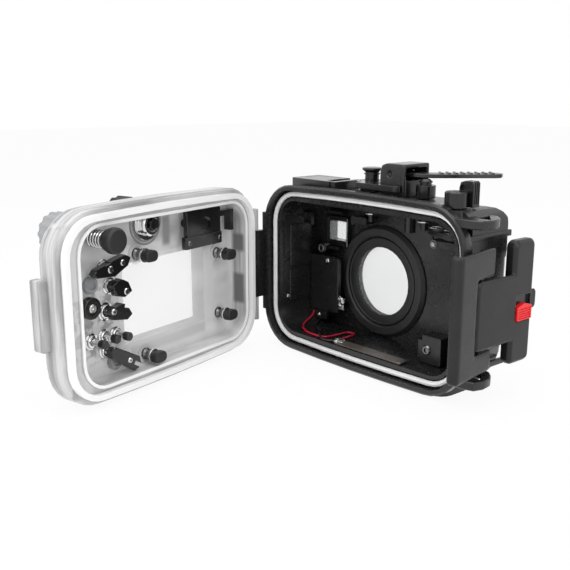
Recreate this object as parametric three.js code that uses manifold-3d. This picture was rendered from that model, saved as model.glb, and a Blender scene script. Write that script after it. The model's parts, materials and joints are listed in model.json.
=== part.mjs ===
// Underwater camera housing with its rear door open.
// Millimetres, z up. Shapes are written in the rim frame: the rim of the rear opening lies in the
// plane y = 0, x runs to the photographer's right, y forward along the lens, from the opening's centre.
import * as THREE from 'three';
import { mergeVertices, toCreasedNormals } from 'three/addons/utils/BufferGeometryUtils.js';
import Module from 'manifold-3d';

const wasm = await Module();
wasm.setup();

// General fits and steps
const fit = 0.3;
const overrun = 1;
const weld = 0.0001;
const cornerSteps = 7;
const bowSteps = 4;
const roundSteps = 2;
const portSteps = 32;
const turnSteps = 20;
const smallTurnSteps = 10;
const halfTurnSteps = 4;
const degree = Math.PI / 180;
const creaseAngle = 32 * degree;

// Housing rim and shell
const rimWidth = 150;
const rimHeight = 98.3;
const rimRadius = 23.3;
const rimBow = 0.8;
const rimChamfer = 1;
const rimDepth = 6.2;
const rimStep = 2.4;
const shellInset = 3.2;
const shellDepth = 43.5;
const frontWall = 4;
const sideWall = 6.3;
const noseRound = 8;
const halfWidth = rimWidth / 2;
const halfHeight = rimHeight / 2;
const wallFace = shellDepth - frontWall;
const cavityInset = shellInset + sideWall;
const cavityRight = halfWidth - cavityInset;
const cavityTop = halfHeight - cavityInset;

// Seal seat
const pocketInset = 3;
const grooveWidth = 4.6;
const lipY = 4.6;
const sealRadius = 1.5;
const grooveFloor = 6.8;
const sealInset = pocketInset + grooveWidth / 2;
const sealY = grooveFloor - fit - sealRadius;

// Foot under the housing
const footDrop = 0.5;
const rimRun = 3.5;
const footRear = 6;
const footFront = shellDepth - rimRun;
const footWidthShare = 0.8;
const footRadius = 8;
const centreUp = halfHeight + rimBow + footDrop;
const footMiddle = (footRear + footFront) / 2;

// Lens port
const port = { x: -13.3, z: -6.8, hole: 22, collarIn: 26.4, collarOut: 33.4, collarDepth: 2.4 };
const mask = { inner: 20.3, depth: 1, lip: 0.4 };
const glass = { thickness: 2, clearance: 0.3 };
const barrel = { outer: 36, inner: 20.8, depth: 7.4, rim: 3, bevel: 1.6, threadDepth: 1 };

// Viewfinder window
const finder = { x: -48.8, z: 19, width: 13.8, height: 12, pane: 2.6, frame: 18.2, frameDepth: 3,
  border: 2.2 };

// Deck on the shell's top
const deckDrop = 1.95;
const deckTop = halfHeight - deckDrop;
const deckBase = halfHeight - cavityInset + overrun;
const deckLeftShare = -0.83;
const deckRightShare = 0.66;
const deckRear = 8.2;
const deckRun = 7.5;
const deckFront = shellDepth - deckRun;

// Door hinge
const hinge = { out: 4.64, back: 4.93, radius: 3.5, pin: 1.4, low: -21, high: 20, doorHigh: 33,
  doorLow: -35.5 };
const hingeArm = { front: 7, strip: 2, stripHigh: 31, stripLow: -29, stripRear: 0.6 };
const hingeX = -(halfWidth + hinge.out);
const hingeY = -hinge.back;
const doorOpen = 75.5 * degree;

// Door shell, written as it lies when closed
const door = {
  gap: 0.4, flange: 11.1, wall: 9, trayDepth: 10.1, farWall: 5, backInset: 5, ridgeInset: 3.5, ridge: 3,
  ridgeHigh: 3.1, edgeInset: 0.7, innerLip: 1.6, innerLipHigh: 1, panel: 0.6,
};
const doorWallFace = -door.gap - door.trayDepth;
const doorBack = doorWallFace - door.wall;
const lugOut = { thickness: 4.6, rear: 14.5, front: 7, high: 17.5, low: -17 };
const trayRight = cavityRight;
const trayTop = cavityTop;

// Latch: the lever turns on the fulcrum, the hook hangs on the pin a little inboard of it
const latch = { fulcrumOut: 2.8, fulcrumY: 2.5, pinOut: 2.5, pinY: 11, knuckle: 2.2, pin: 1.1,
  seam: 0.8 };
const lever = {
  face: 8, slab: 2.6, slabHigh: 14.9, slabLow: -19.7, rear: 29, front: 46.3, high: 31.4, low: -32,
  inner: 1.4, wall: 2.2, bumpOut: 4.4, bumpHigh: 4.9, bumpLow: -5.4, round: 3.4,
};
const hook = {
  face: 6.8, side: 2.6, rear: -17.5, wall: 2.6, inner: 0.4, high: 30, low: -32, armEnd: 16,
  armHigh: 15.5, armLow: -20.5, spineEnd: -0.6, round: 1.2,
};
const hookSwing = 8.5 * degree;
const slider = { rear: 32.4, front: 44.6, low: -9.5, high: -0.7, peak: 1.7, proud: 0.9, depth: 2.2,
  travel: 3.7 };
const fulcrum = new THREE.Vector2(halfWidth + latch.fulcrumOut, latch.fulcrumY);
const hookPin = new THREE.Vector2(halfWidth + latch.pinOut, latch.pinY);
const knuckleCount = 5;

// Controls on the deck
const button = { x: -9, y: 24, cap: 5.6, capTop: 13.9, capThick: 1.5, stem: 3.9, gland: 6.4,
  glandTop: 6.2 };
const power = { width: 5, root: 2.2, right: 27, top: 6.6, thick: 3.4 };
const bridge = { left: 4, right: 21, rear: 16, front: 37, top: 17.3, wall: 2.2, round: 4.4 };
const plunger = { x: 29.5, y: 24, stem: 3, gland: 5.2, glandTop: 7, pinRadius: 2.2, reach: 9 };
const shutter = { under: 10.8, thick: 2.1, width: 10.4, pivotX: 11, rootWidth: 9, rib: 0.6, ribs: 8,
  ribWide: 1.2 };
const shutterRun = { bendX: 25, bendY: 25.5, tipX: 53.2, tipY: 57.4, rootX: 7.5, rootY: 26.5 };
const shoe = {
  left: -0.8 * halfWidth, right: -0.313 * halfWidth, rear: 9, front: 31.5, top: 5.2,
    slotLeft: -0.447 * halfWidth, slotRight: -0.353 * halfWidth,
    slotRear: 12.5,
  slotDepth: 2.8, recess: 0.7, border: 3, round: 1.6, slit: 1.2,
};
const dial = {
  inRight: 16.5, y: 12, hub: 5.6, rise: 7.5, sink: 1, seatRadius: 8.4, shaft: 2.4, armDrop: 3.65,
    armThick: 2.6,
  armEndX: 38.5, armEndY: 20, armWidth: 5, pinDrop: 2.8, pin: 0.9, wire: 0.45,
};
const dialX = halfWidth - dial.inRight;
const dialTop = deckTop + dial.rise;
const dialSeatTop = deckTop - dial.sink;
const dialArmTop = cavityTop - dial.armDrop;
const paddle = { inLeft: 18.4, inRight: 9.6, rear: 16.4, front: 21.8, rise: 12.4, round: 3.4, flute: 0.7,
  recess: 1.2 };
const paddleLeft = halfWidth - paddle.inLeft;
const paddleRight = halfWidth - paddle.inRight;
const paddleTop = deckTop + paddle.rise;

// Shoulder of the shell beside the dial
const shoulder = { leftShare: 0.6, low: 16, front: 38, round: 9, nose: 7 };

// Strap lugs
const strap = { down: 5.5, thick: 4.4, root: 13, out: 8.5, rear: 0.8, front: 22.4, rim: 2.4, hole: 8.6,
  round: 3.6, lift: 4.2 };

// Things inside the chamber
const leakInset = 0.5;
const leakWide = 24.5;
const leakRoom = 10;
const leak = { left: leakInset - cavityRight, right: leakInset + leakWide - cavityRight,
  high: 0.1 * cavityTop, low: -0.782 * cavityTop, face: wallFace - leakRoom, lid: 3, box: 17.4, foot: 8,
  footStep: 1.6 };
const strip = { left: -18, right: 31.5, rear: 5.5, front: 13, thick: 0.7 };
const stop = { left: 33, right: 48.5, rear: 18, front: 28, rise: 15.35, seat: 3, hole: 2.2 };
const stopHigh = -cavityTop + fit + stop.rise;
const shelf = { left: 37, rear: 20, down: 12.45, thick: 4.5, plateRise: 5.2, plateLeft: 39,
  plateRight: 54, plateRear: 29 };
const shelfHigh = cavityTop - shelf.down;
const shelfLow = shelfHigh - shelf.thick;
const clip = { width: 4.4, high: -20.5, low: -27.5, sheet: 0.5, fold: 2 };
const wireRadius = 0.6;
const redRoute = [
  [-62.4, 31, -31.8], [-61, 28, -34.6], [-56, 16, -37.7], [-49, 10, -38.5], [-38, 7.4, -38.6],
  [-29.8, 8.9, -38.6], [-28, 17, -38.6], [-27.4, 25.2, -38.6], [-22.8, 26.4, -38.6], [-20.4, 19, -38.5],
  [-19.6, 13.9, -38.3],
];
const blackRoute = [
  [-58, 34, -31.8], [-57.4, 32, -36], [-53.4, 24, -38.5], [-44, 16.4, -38.4], [-37.4, 13, -37.9],
  [-33.6, 8.4, -37], [-29, 5, -37.9], [-24, 5.2, -38.4], [-19.4, 7.6, -38.3],
];
const tripod = { x: -13.3, radius: 4.7, bore: 3.2, depth: 8.4, flange: 0.3 };

// Door mechanisms: places as shares of the tray's half width and half height
const bumper = { post: 3.2, postHigh: 7.2, wide: 4.4, tall: 3, high: 12.4, neck: 2.2 };
const bumperShares = [[0.21, 0.5], [0.15, -0.89], [-0.777, 0.26], [-0.787, -0.653]];
const knob = {
  xShare: 0.667, zShare: 0.825, clear: 10.8, clearFrom: 0.5, clearLong: 17, flutes: 14, flute: 0.7,
    shaft: 2.2,
  cap: 6.5, capBase: 12.6, capEnd: 19.6, slide: 2,
};
const capRear = doorWallFace + knob.capBase;
const capFront = doorWallFace + knob.capEnd;
const coil = { radius: 4.1, wire: 0.45, turns: 6, stepsPerTurn: 8, sides: 5 };
const control = {
  xShare: 0.09, zShare: 0.88, outer: 13, from: 0.5, long: 10.5, flutes: 16, flute: 0.6, shaft: 2.6,
    hex: 3.4,
  hexRise: 6.9, hexLong: 3.4, gland: 9, glandHigh: 5, pocket: 9.4, bump: 12.2, ring: 6.6,
    ringHigh: 4.2, flangeHigh: 1.4, bumpDown: 8.2,
};
const hexFront = doorWallFace + control.hexRise;
const bracket = {
  left: -0.728 * trayRight, right: -0.29 * trayRight, high: 0.972 * trayTop, low: 0.6 * trayTop,
  rise: 7, plate: 3, post: 2.4, postInset: 4.6, barRight: -0.255 * trayRight, barLow: 0.444 * trayTop,
  barHigh: 0.615 * trayTop, barRise: 0.8, barThick: 3.2, armLeft: -0.91 * trayRight,
  armHigh: 0.9 * trayTop, armLow: 0.59 * trayTop, armThick: 3.2, hookWide: 3.6, hookDeep: 4.4,
  hole: 4.2, core: 3.4, coreShift: 1.5, holeX: -0.53 * trayRight, holeZ: 0.752 * trayTop,
};
const bracketFront = doorWallFace + bracket.rise;
const stem = { radius: 1.7, cap: 3.7, capLong: 3.6, capGap: 2.9, travel: 1.8, hole: 2.1 };
const armThick = 4.4;
const armRise = 8.1;
const armFront = doorWallFace + armRise;
const armWide = 10;
const armShares = [
  { hub: [0.572, 0.42], end: [0.425, 0.5], foot: [0.725, 0.4], wide: 0.84, wideEnd: 0.62 },
  { hub: [0.515, 0.17], end: [0.435, 0.12], foot: [0.45, 0.2], wide: 0.9, wideEnd: 0.8 },
  { hub: [0.57, -0.15], end: [0.43, -0.2], foot: [0.48, -0.08], wide: 0.66, wideEnd: 0.6 },
];
const tipShares = [[0.473, -0.475], [0.596, -0.462], [0.724, -0.484]];
const tip = { radius: 2.3, long: 4.2, rise: 11.5 };
const tipFront = doorWallFace + tip.rise;
const fork = { hubShare: [0.59, -0.66], endShare: [0.36, -0.9], wide: 6, prong: 2, slot: 2.2,
  slotDeep: 4 };
const ring = { xShare: 0.745, zShare: -0.035, outer: 5.6, inner: 3.2, long: 4, rise: 5.2 };
const ringFront = doorWallFace + ring.rise;

const xAxis = new THREE.Vector3(1, 0, 0);
const yAxis = new THREE.Vector3(0, 1, 0);
const zAxis = new THREE.Vector3(0, 0, 1);

// Turns a closed geometry into a solid for cutting and joining
function solid(geometry) {
  const bare = geometry.index ? geometry.clone() : geometry;
  bare.deleteAttribute('normal');
  bare.deleteAttribute('uv');
  const merged = mergeVertices(bare, weld);
  const places = new Float32Array(merged.attributes.position.array);
  const corners = [];
  let volume = 0;
  const at = (index) => new THREE.Vector3().fromArray(places, index * 3);
  for (let face = 0; face < merged.index.count; face += 3) {
    const [a, b, c] = [0, 1, 2].map((corner) => merged.index.array[face + corner]);
    if (a === b || b === c || c === a) continue;
    corners.push([a, b, c]);
    volume += at(a).dot(at(b).cross(at(c)));
  }
  const triVerts = new Uint32Array(corners.flatMap(([a, b, c]) => (volume < 0 ? [a, c, b] : [a, b, c])));
  return new wasm.Manifold(new wasm.Mesh({ numProp: 3, vertProperties: places, triVerts }));
}

function join(first, ...others) {
  return others.reduce((whole, piece) => whole.add(piece), first);
}

function cut(first, ...tools) {
  return tools.reduce((whole, tool) => whole.subtract(tool), first);
}

function finish(color, roughness, metalness = 0) {
  return new THREE.MeshStandardMaterial({ color, roughness, metalness });
}

function meshOf(name, shape, material) {
  const data = shape.getMesh();
  const geometry = new THREE.BufferGeometry();
  geometry.setAttribute('position', new THREE.BufferAttribute(new Float32Array(data.vertProperties), 3));
  geometry.setIndex(new THREE.BufferAttribute(new Uint32Array(data.triVerts), 1));
  const mesh = new THREE.Mesh(toCreasedNormals(geometry, creaseAngle), material);
  mesh.name = name;
  return mesh;
}

// A rounded rectangle in x and z whose top and bottom edges bow outward
function roundedOutline(width, height, radius, bow) {
  const points = [];
  const side = width / 2 - radius;
  const rise = height / 2 - radius;
  const turns = [[1, 1], [-1, 1], [-1, -1], [1, -1]];
  turns.forEach(([right, up], turn) => {
    for (let step = 0; step <= cornerSteps; step++) {
      const angle = (turn + step / cornerSteps) * Math.PI / 2;
      const x = right * side + radius * Math.cos(angle);
      points.push(new THREE.Vector2(x, up * rise + radius * Math.sin(angle)));
    }
    if (bow > 0 && turn % 2 === 0) {
      for (let step = 1; step < bowSteps; step++) {
        const share = right * (1 - 2 * step / bowSteps);
        points.push(new THREE.Vector2(share * side, up * (height / 2 + bow * (1 - share * share))));
      }
    }
  });
  return points;
}

function rimOutline(inset, bow = rimBow) {
  return roundedOutline(rimWidth - 2 * inset, rimHeight - 2 * inset, rimRadius - inset, bow);
}

// Skins a row of outlines with equal point counts, each at its own y
function loft(sections) {
  const places = sections.flatMap(({ y, points }) => points.flatMap((point) => [point.x, y, point.y]));
  const count = sections[0].points.length;
  const faces = [];
  for (let row = 0; row < sections.length - 1; row++) {
    for (let index = 0; index < count; index++) {
      const next = (index + 1) % count;
      const [a, b] = [row * count + index, row * count + next];
      faces.push(a, a + count, b, b, a + count, b + count);
    }
  }
  const last = (sections.length - 1) * count;
  for (let index = 1; index < count - 1; index++) {
    faces.push(0, index, index + 1);
    faces.push(last, last + index + 1, last + index);
  }
  const geometry = new THREE.BufferGeometry();
  geometry.setAttribute('position', new THREE.Float32BufferAttribute(places, 3));
  geometry.setIndex(faces);
  return solid(geometry);
}

// Extrudes a shape along an axis; its plane is y and z, x and z, or x and y
function prism(shape, axis, from, to, chamfer = 0, steps = roundSteps) {
  const geometry = new THREE.ExtrudeGeometry(shape, {
    depth: to - from - 2 * chamfer,
    bevelEnabled: chamfer > 0,
    bevelThickness: chamfer,
    bevelSize: chamfer,
    bevelOffset: -chamfer,
    bevelSegments: 1,
    curveSegments: steps,
  });
  geometry.translate(0, 0, chamfer);
  const frame = new THREE.Matrix4();
  if (axis === 'x') frame.makeBasis(yAxis, zAxis, xAxis).setPosition(from, 0, 0);
  if (axis === 'y') frame.makeBasis(xAxis, zAxis, yAxis.clone().negate()).setPosition(0, to, 0);
  if (axis === 'z') frame.setPosition(0, 0, from);
  return solid(geometry.applyMatrix4(frame));
}

function roundedShape([left, right], [low, high], radius) {
  const shape = new THREE.Shape();
  if (radius === 0) {
    shape.moveTo(left, low).lineTo(right, low).lineTo(right, high).lineTo(left, high);
    return shape;
  }
  shape.absarc(right - radius, low + radius, radius, -Math.PI / 2, 0);
  shape.absarc(right - radius, high - radius, radius, 0, Math.PI / 2);
  shape.absarc(left + radius, high - radius, radius, Math.PI / 2, Math.PI);
  shape.absarc(left + radius, low + radius, radius, Math.PI, 1.5 * Math.PI);
  return shape;
}

// A block whose edges along the given axis are rounded
function block(xs, ys, zs, axis = 'z', radius = 0, chamfer = 0) {
  const plans = { x: [ys, zs, xs], y: [xs, zs, ys], z: [xs, ys, zs] };
  const [across, up, along] = plans[axis];
  const steps = radius > 2 * rimChamfer ? roundSteps : roundSteps - 1;
  return prism(roundedShape(across, up, radius), axis, along[0], along[1], chamfer, steps);
}

// Revolves a closed profile of [radius, distance] pairs about a line along the axis
function turned(profile, axis, centre, steps = turnSteps) {
  const points = profile.map(([radius, along]) => new THREE.Vector2(radius, along));
  const geometry = new THREE.LatheGeometry(points, steps);
  if (axis === 'z') geometry.rotateX(Math.PI / 2);
  if (axis === 'x') geometry.rotateZ(-Math.PI / 2);
  geometry.translate(...centre);
  return solid(geometry);
}

function rod(radius, from, to, axis, centre, chamfer = 0, steps = turnSteps) {
  const profile = [[0, from], [radius - chamfer, from]];
  if (chamfer > 0) profile.push([radius, from + chamfer], [radius, to - chamfer]);
  profile.push([radius - chamfer, to], [0, to]);
  return turned(profile, axis, centre, steps);
}

function annulus(inner, outer, from, to, axis, centre, chamfer = 0, steps = turnSteps) {
  const profile = [[inner, from], [outer - chamfer, from]];
  if (chamfer > 0) profile.push([outer, from + chamfer]);
  profile.push([outer, to], [inner, to], [inner, from]);
  return turned(profile, axis, centre, steps);
}

function outlineShape(points) {
  return new THREE.Shape(points);
}

function tube(points, radius, steps, sides = 8) {
  const path = new THREE.CatmullRomCurve3(points.map((point) => new THREE.Vector3(...point)));
  const section = new THREE.Shape();
  for (let side = 0; side < sides; side++) {
    const angle = 2 * Math.PI * side / sides;
    const place = [radius * Math.cos(angle), radius * Math.sin(angle)];
    if (side === 0) section.moveTo(...place);
    else section.lineTo(...place);
  }
  return solid(new THREE.ExtrudeGeometry(section, { steps, extrudePath: path }));
}

// A tab in x and y: half a disc about the centre, run straight to its root on one side
function tabShape(centre, radius, root) {
  const side = Math.sign(centre.x - root);
  const start = -side * Math.PI / 2;
  const shape = new THREE.Shape();
  shape.moveTo(root, centre.y - side * radius);
  shape.absarc(centre.x, centre.y, radius, start, start + Math.PI);
  shape.lineTo(root, centre.y + side * radius);
  return shape;
}

// The housing's outer skin, from the rim to the rounded front
function housingSkin() {
  const stepEnd = rimDepth + rimStep;
  const rows = [
    [0, rimChamfer], [rimChamfer, 0], [rimDepth - rimChamfer, 0], [rimDepth, rimChamfer / 2],
    [stepEnd, shellInset], [shellDepth - noseRound, shellInset],
    [shellDepth - noseRound / 2, shellInset + noseRound / 4],
    [shellDepth - noseRound / 5, shellInset + 0.6 * noseRound],
      [shellDepth, shellInset + 1.1 * noseRound],
  ];
  return loft(rows.map(([y, inset]) => ({ y, points: rimOutline(inset) })));
}

function strapLug(up) {
  const strapRoot = halfWidth - strap.root;
  const out = halfWidth + strap.out;
  const middle = (strap.rear + strap.front) / 2;
  const shape = new THREE.Shape();
  shape.moveTo(strapRoot, strap.rear);
  shape.lineTo(out - 2 * strap.round, strap.rear);
  shape.quadraticCurveTo(out, strap.rear, out, strap.rear + 2 * strap.round);
  shape.quadraticCurveTo(out, middle + strap.round, out - strap.round, middle + 2 * strap.round);
  shape.lineTo(out - 2 * strap.round, strap.front);
  shape.lineTo(strapRoot, strap.front);
  const slot = new THREE.Path();
  const slotLeft = out - strap.rim - strap.hole;
  const slotRear = rimDepth + rimStep + fit;
  slot.moveTo(slotLeft, slotRear);
  slot.lineTo(out - strap.rim, slotRear + fit);
  slot.lineTo(slotLeft, strap.front - strap.rim);
  shape.holes.push(slot);
  const high = halfHeight - strap.down;
  const low = high - strap.thick;
  const heights = up > 0 ? [low, high] : [strap.lift - high, strap.lift - low];
  return prism(shape, 'z', heights[0], heights[1], rimChamfer / 2, roundSteps);
}

// Alternate stretches of the latch's knuckle line: even ones belong to the lever, odd ones to the housing
function knuckleSpan(index) {
  const length = (lever.slabHigh - lever.slabLow) / knuckleCount;
  const low = lever.slabLow + index * length;
  return [low + fit / 2, low + length - fit / 2];
}

function latchEars() {
  const ears = [1, 3].map((index) => {
    const [low, high] = knuckleSpan(index);
    return prism(tabShape(fulcrum, latch.knuckle, halfWidth - overrun), 'z', low, high, 0, halfTurnSteps);
  });
  return join(...ears);
}

function hingeBase() {
  const rim = -halfWidth + overrun;
  const outer = hingeX - hinge.radius;
  const shape = new THREE.Shape();
  shape.moveTo(outer, hingeArm.front);
  shape.absarc(hingeX, hingeY, hinge.radius, Math.PI, 2 * Math.PI);
  shape.lineTo(hingeX + hinge.radius, hingeArm.stripRear);
  shape.lineTo(rim, hingeArm.stripRear);
  shape.lineTo(rim, hingeArm.front);
  const arm = prism(shape, 'z', hinge.low, hinge.high, 0, halfTurnSteps);
  const strips = block([-halfWidth - hingeArm.strip, rim], [hingeArm.stripRear, rimDepth],
    [hingeArm.stripLow, hingeArm.stripHigh]);
  return join(arm, strips);
}

function sideRidges() {
  const face = halfWidth - shellInset;
  const low = lever.high + fit;
  const upper = block([face - overrun, face + shellInset / 4], [rimDepth, wallFace],
    [low, low + shellInset], 'y', rimChamfer / 2);
  const lower = block([face - overrun, face + shellInset / 4], [rimDepth, wallFace],
    [lever.low - shellInset, lever.low], 'y', rimChamfer / 2);
  return join(upper, lower);
}

// The squarer shoulder of the shell under the dial
function shellShoulder() {
  const left = shoulder.leftShare * halfWidth;
  const right = halfWidth - shellInset + fit;
  const across = block([left, right], [rimDepth + rimStep - fit, shoulder.front],
    [shoulder.low, dialSeatTop], 'y', shoulder.round);
  const along = block([left, right], [rimDepth - shoulder.nose, shoulder.front],
    [shoulder.low - shoulder.nose, dialSeatTop], 'x', shoulder.nose, rimChamfer);
  return across.intersect(along);
}

function chamberFittings() {
  const left = -cavityRight - overrun;
  const panel = block([left, -cavityRight + 0.2 * sideWall], [rimDepth * 2, leak.face],
    [-0.05 * cavityTop, 0.6 * cavityTop], 'x', rimChamfer, fit);
  const lowPanel = block([left, -cavityRight + 0.12 * sideWall], [rimDepth * 2, leak.face],
    [-0.6 * cavityTop, -0.1 * cavityTop], 'x', rimChamfer, fit);
  const rail = block([left, -cavityRight + sideWall / 2], [leak.face - sideWall, leak.face],
    [0.68 * cavityTop, 0.76 * cavityTop], 'z', rimChamfer);
  const post = block([-cavityRight + fit, -cavityRight + sideWall / 2],
    [leak.face - sideWall / 3, leak.face], [0.56 * cavityTop, 0.76 * cavityTop], 'z', 0);
  const ledgeLeft = finder.x + finder.frame;
  const ledge = block([ledgeLeft, ledgeLeft + 2 * sideWall], [leak.face, wallFace + overrun],
    [0.68 * cavityTop, 0.78 * cavityTop], 'y', rimChamfer);
  const ledgeFoot = block([ledgeLeft, ledgeLeft + sideWall / 2], [leak.face, wallFace + overrun],
    [0.68 * cavityTop - rimChamfer, 0.78 * cavityTop], 'y', rimChamfer);
  const boss = rod(sideWall / 2, cavityTop - 2 * sideWall, cavityTop + overrun, 'z',
    [shelf.left - 3.5 * sideWall, leak.face, 0], 0, smallTurnSteps);
  return join(panel, lowPanel, rail, post, ledge, ledgeFoot, boss);
}

function makeMainBody() {
  const foot = block([-footWidthShare * halfWidth, footWidthShare * halfWidth], [footRear, footFront],
    [-centreUp, -halfHeight + shellInset + overrun], 'z', footRadius, 0);
  const deck = block([deckLeftShare * halfWidth, deckRightShare * halfWidth], [deckRear, deckFront],
    [deckBase, deckTop], 'z', sideWall / 2, 0);
  const dialSeat = rod(dial.seatRadius, cavityTop, dialSeatTop, 'z', [dialX, dial.y, 0]);
  let body = join(housingSkin(), foot, deck, dialSeat, strapLug(1), strapLug(-1), latchEars(),
    hingeBase(), sideRidges(), shellShoulder());
  const lipRing = prism(outlineShape(rimOutline(pocketInset + grooveWidth)), 'y', lipY,
    grooveFloor + overrun);
  const seat = cut(prism(outlineShape(rimOutline(pocketInset)), 'y', -overrun, grooveFloor), lipRing);
  const chamber = prism(outlineShape(rimOutline(cavityInset, 0)), 'y', -overrun, wallFace);
  body = join(cut(body, seat, chamber), chamberFittings());
  const lensHole = rod(port.hole, wallFace - overrun, shellDepth + overrun, 'y', [port.x, 0, port.z]);
  const finderHole = block([finder.x - finder.width / 2, finder.x + finder.width / 2],
    [wallFace - overrun, shellDepth + overrun],
      [finder.z - finder.height / 2, finder.z + finder.height / 2], 'y', rimChamfer);
  const dialRoom = rod(dial.hub + 2 * fit, dialSeatTop, dialTop, 'z', [dialX, dial.y, 0]);
  const shaftHoles = [
    [button.x, button.y, stem.radius], [plunger.x, plunger.y, plunger.pinRadius],
      [dialX, dial.y, dial.shaft],
  ].map(([x, y, radius]) => rod(radius + fit, cavityTop - sideWall, deckTop + overrun, 'z', [x, y, 0], 0,
    smallTurnSteps));
  const socket = rod(tripod.radius + fit, -centreUp - overrun, -centreUp + tripod.depth + fit, 'z',
    [tripod.x, footMiddle, 0]);
  const earHole = rod(latch.pin + fit, lever.slabLow, lever.slabHigh, 'z', [fulcrum.x, fulcrum.y, 0], 0,
    smallTurnSteps);
  const pinHole = rod(hinge.pin + fit, hinge.low - overrun, hinge.high + overrun, 'z',
    [hingeX, hingeY, 0], 0, smallTurnSteps);
  body = cut(body, lensHole, finderHole, dialRoom, ...shaftHoles, socket, earHole, pinHole);
  return meshOf('main_body', body, finish('#2b2b2d', 0.5));
}

function makeMainSeal() {
  const sides = 8;
  const rings = [];
  for (let side = 0; side < sides; side++) {
    const angle = 2 * Math.PI * side / sides;
    const inset = sealInset - sealRadius * Math.cos(angle);
    rings.push({ y: sealY + sealRadius * Math.sin(angle), points: rimOutline(inset) });
  }
  const places = rings.flatMap(({ y, points }) => points.flatMap((point) => [point.x, y, point.y]));
  const count = rings[0].points.length;
  const faces = [];
  for (let row = 0; row < sides; row++) {
    for (let index = 0; index < count; index++) {
      const a = row * count + index;
      const b = row * count + (index + 1) % count;
      const c = ((row + 1) % sides) * count + index;
      const d = ((row + 1) % sides) * count + (index + 1) % count;
      faces.push(a, c, b, b, c, d);
    }
  }
  const geometry = new THREE.BufferGeometry();
  geometry.setAttribute('position', new THREE.Float32BufferAttribute(places, 3));
  geometry.setIndex(faces);
  return meshOf('main_seal', solid(geometry), finish('#f1f1ef', 0.45));
}

function makePortPieces() {
  const centre = [port.x, 0, port.z];
  const seatY = wallFace - fit;
  const collarY = seatY - port.collarDepth;
  const step = rimChamfer;
  const collar = turned([
    [port.collarIn, collarY + step], [port.collarIn + step, collarY],
      [port.collarOut - 2 * step, collarY],
    [port.collarOut, collarY + 2 * step], [port.collarOut, seatY], [port.collarIn, seatY],
      [port.collarIn, collarY + step],
  ], 'y', centre, portSteps);
  const maskOut = port.collarIn - fit;
  const maskY = seatY - mask.depth;
  const ringMask = turned([
    [mask.inner, seatY - mask.lip], [mask.inner + 2 * mask.lip, maskY + mask.lip],
      [maskOut - 2 * mask.lip, maskY + mask.lip],
    [maskOut - mask.lip, maskY], [maskOut, maskY], [maskOut, seatY], [mask.inner, seatY],
      [mask.inner, seatY - mask.lip],
  ], 'y', centre, portSteps);
  const pane = rod(port.hole - fit, shellDepth - glass.thickness, shellDepth, 'y', centre,
    glass.clearance, portSteps);
  const frontY = shellDepth + fit;
  const end = frontY + barrel.depth;
  const tubeWall = turned([
    [barrel.inner, frontY], [barrel.outer, frontY], [barrel.outer, end - barrel.bevel],
      [barrel.outer - barrel.bevel, end],
    [barrel.outer - barrel.rim, end], [barrel.outer - barrel.rim - barrel.threadDepth,
      end - barrel.bevel],
    [barrel.outer - 2 * barrel.rim, frontY + 2 * barrel.bevel], [port.hole, frontY + barrel.bevel],
      [barrel.inner, frontY],
  ], 'y', centre, portSteps);
  const floorCut = block([port.x - port.collarOut, port.x + port.collarOut],
    [collarY - overrun, wallFace],
    [port.z - 2 * port.collarOut, -cavityTop + fit], 'y', 0);
  return [
    meshOf('port_collar', cut(collar, floorCut), finish('#242426', 0.55)),
    meshOf('port_mask', ringMask, finish('#1f1f21', 0.6)),
    meshOf('port_glass', pane, finish('#eef3f5', 0.05)),
    meshOf('front_port_barrel', tubeWall, finish('#29292b', 0.45)),
  ];
}

function makeFinderPieces() {
  const halfPane = [finder.width / 2 - fit, finder.height / 2 - fit];
  const seatY = wallFace - fit;
  const pane = block([finder.x - halfPane[0], finder.x + halfPane[0]], [seatY - finder.pane, seatY],
    [finder.z - halfPane[1], finder.z + halfPane[1]], 'y', rimChamfer, 0);
  const half = finder.frame / 2;
  const surround = block([finder.x - half, finder.x + half], [seatY - finder.frameDepth, seatY],
    [finder.z - half, finder.z + half], 'y', rimChamfer, fit);
  const opening = block([finder.x - finder.width / 2, finder.x + finder.width / 2],
    [seatY - finder.frameDepth - overrun, seatY + overrun],
      [finder.z - finder.height / 2, finder.z + finder.height / 2], 'y', rimChamfer);
  const recess = block([finder.x - half + finder.border / 2, finder.x + half - finder.border / 2],
    [seatY - finder.frameDepth - overrun, seatY - finder.frameDepth / 2],
    [finder.z - half + finder.border / 2, finder.z + half - finder.border / 2], 'y', rimChamfer);
  const collarRoom = rod(port.collarOut + fit, wallFace - 2 * port.collarDepth, wallFace, 'y',
    [port.x, 0, port.z], 0, portSteps);
  return [
    meshOf('viewfinder_window', pane, finish('#eef3f5', 0.05)),
    meshOf('viewfinder_frame', cut(surround, opening, recess, collarRoom), finish('#232325', 0.5)),
  ];
}

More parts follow.
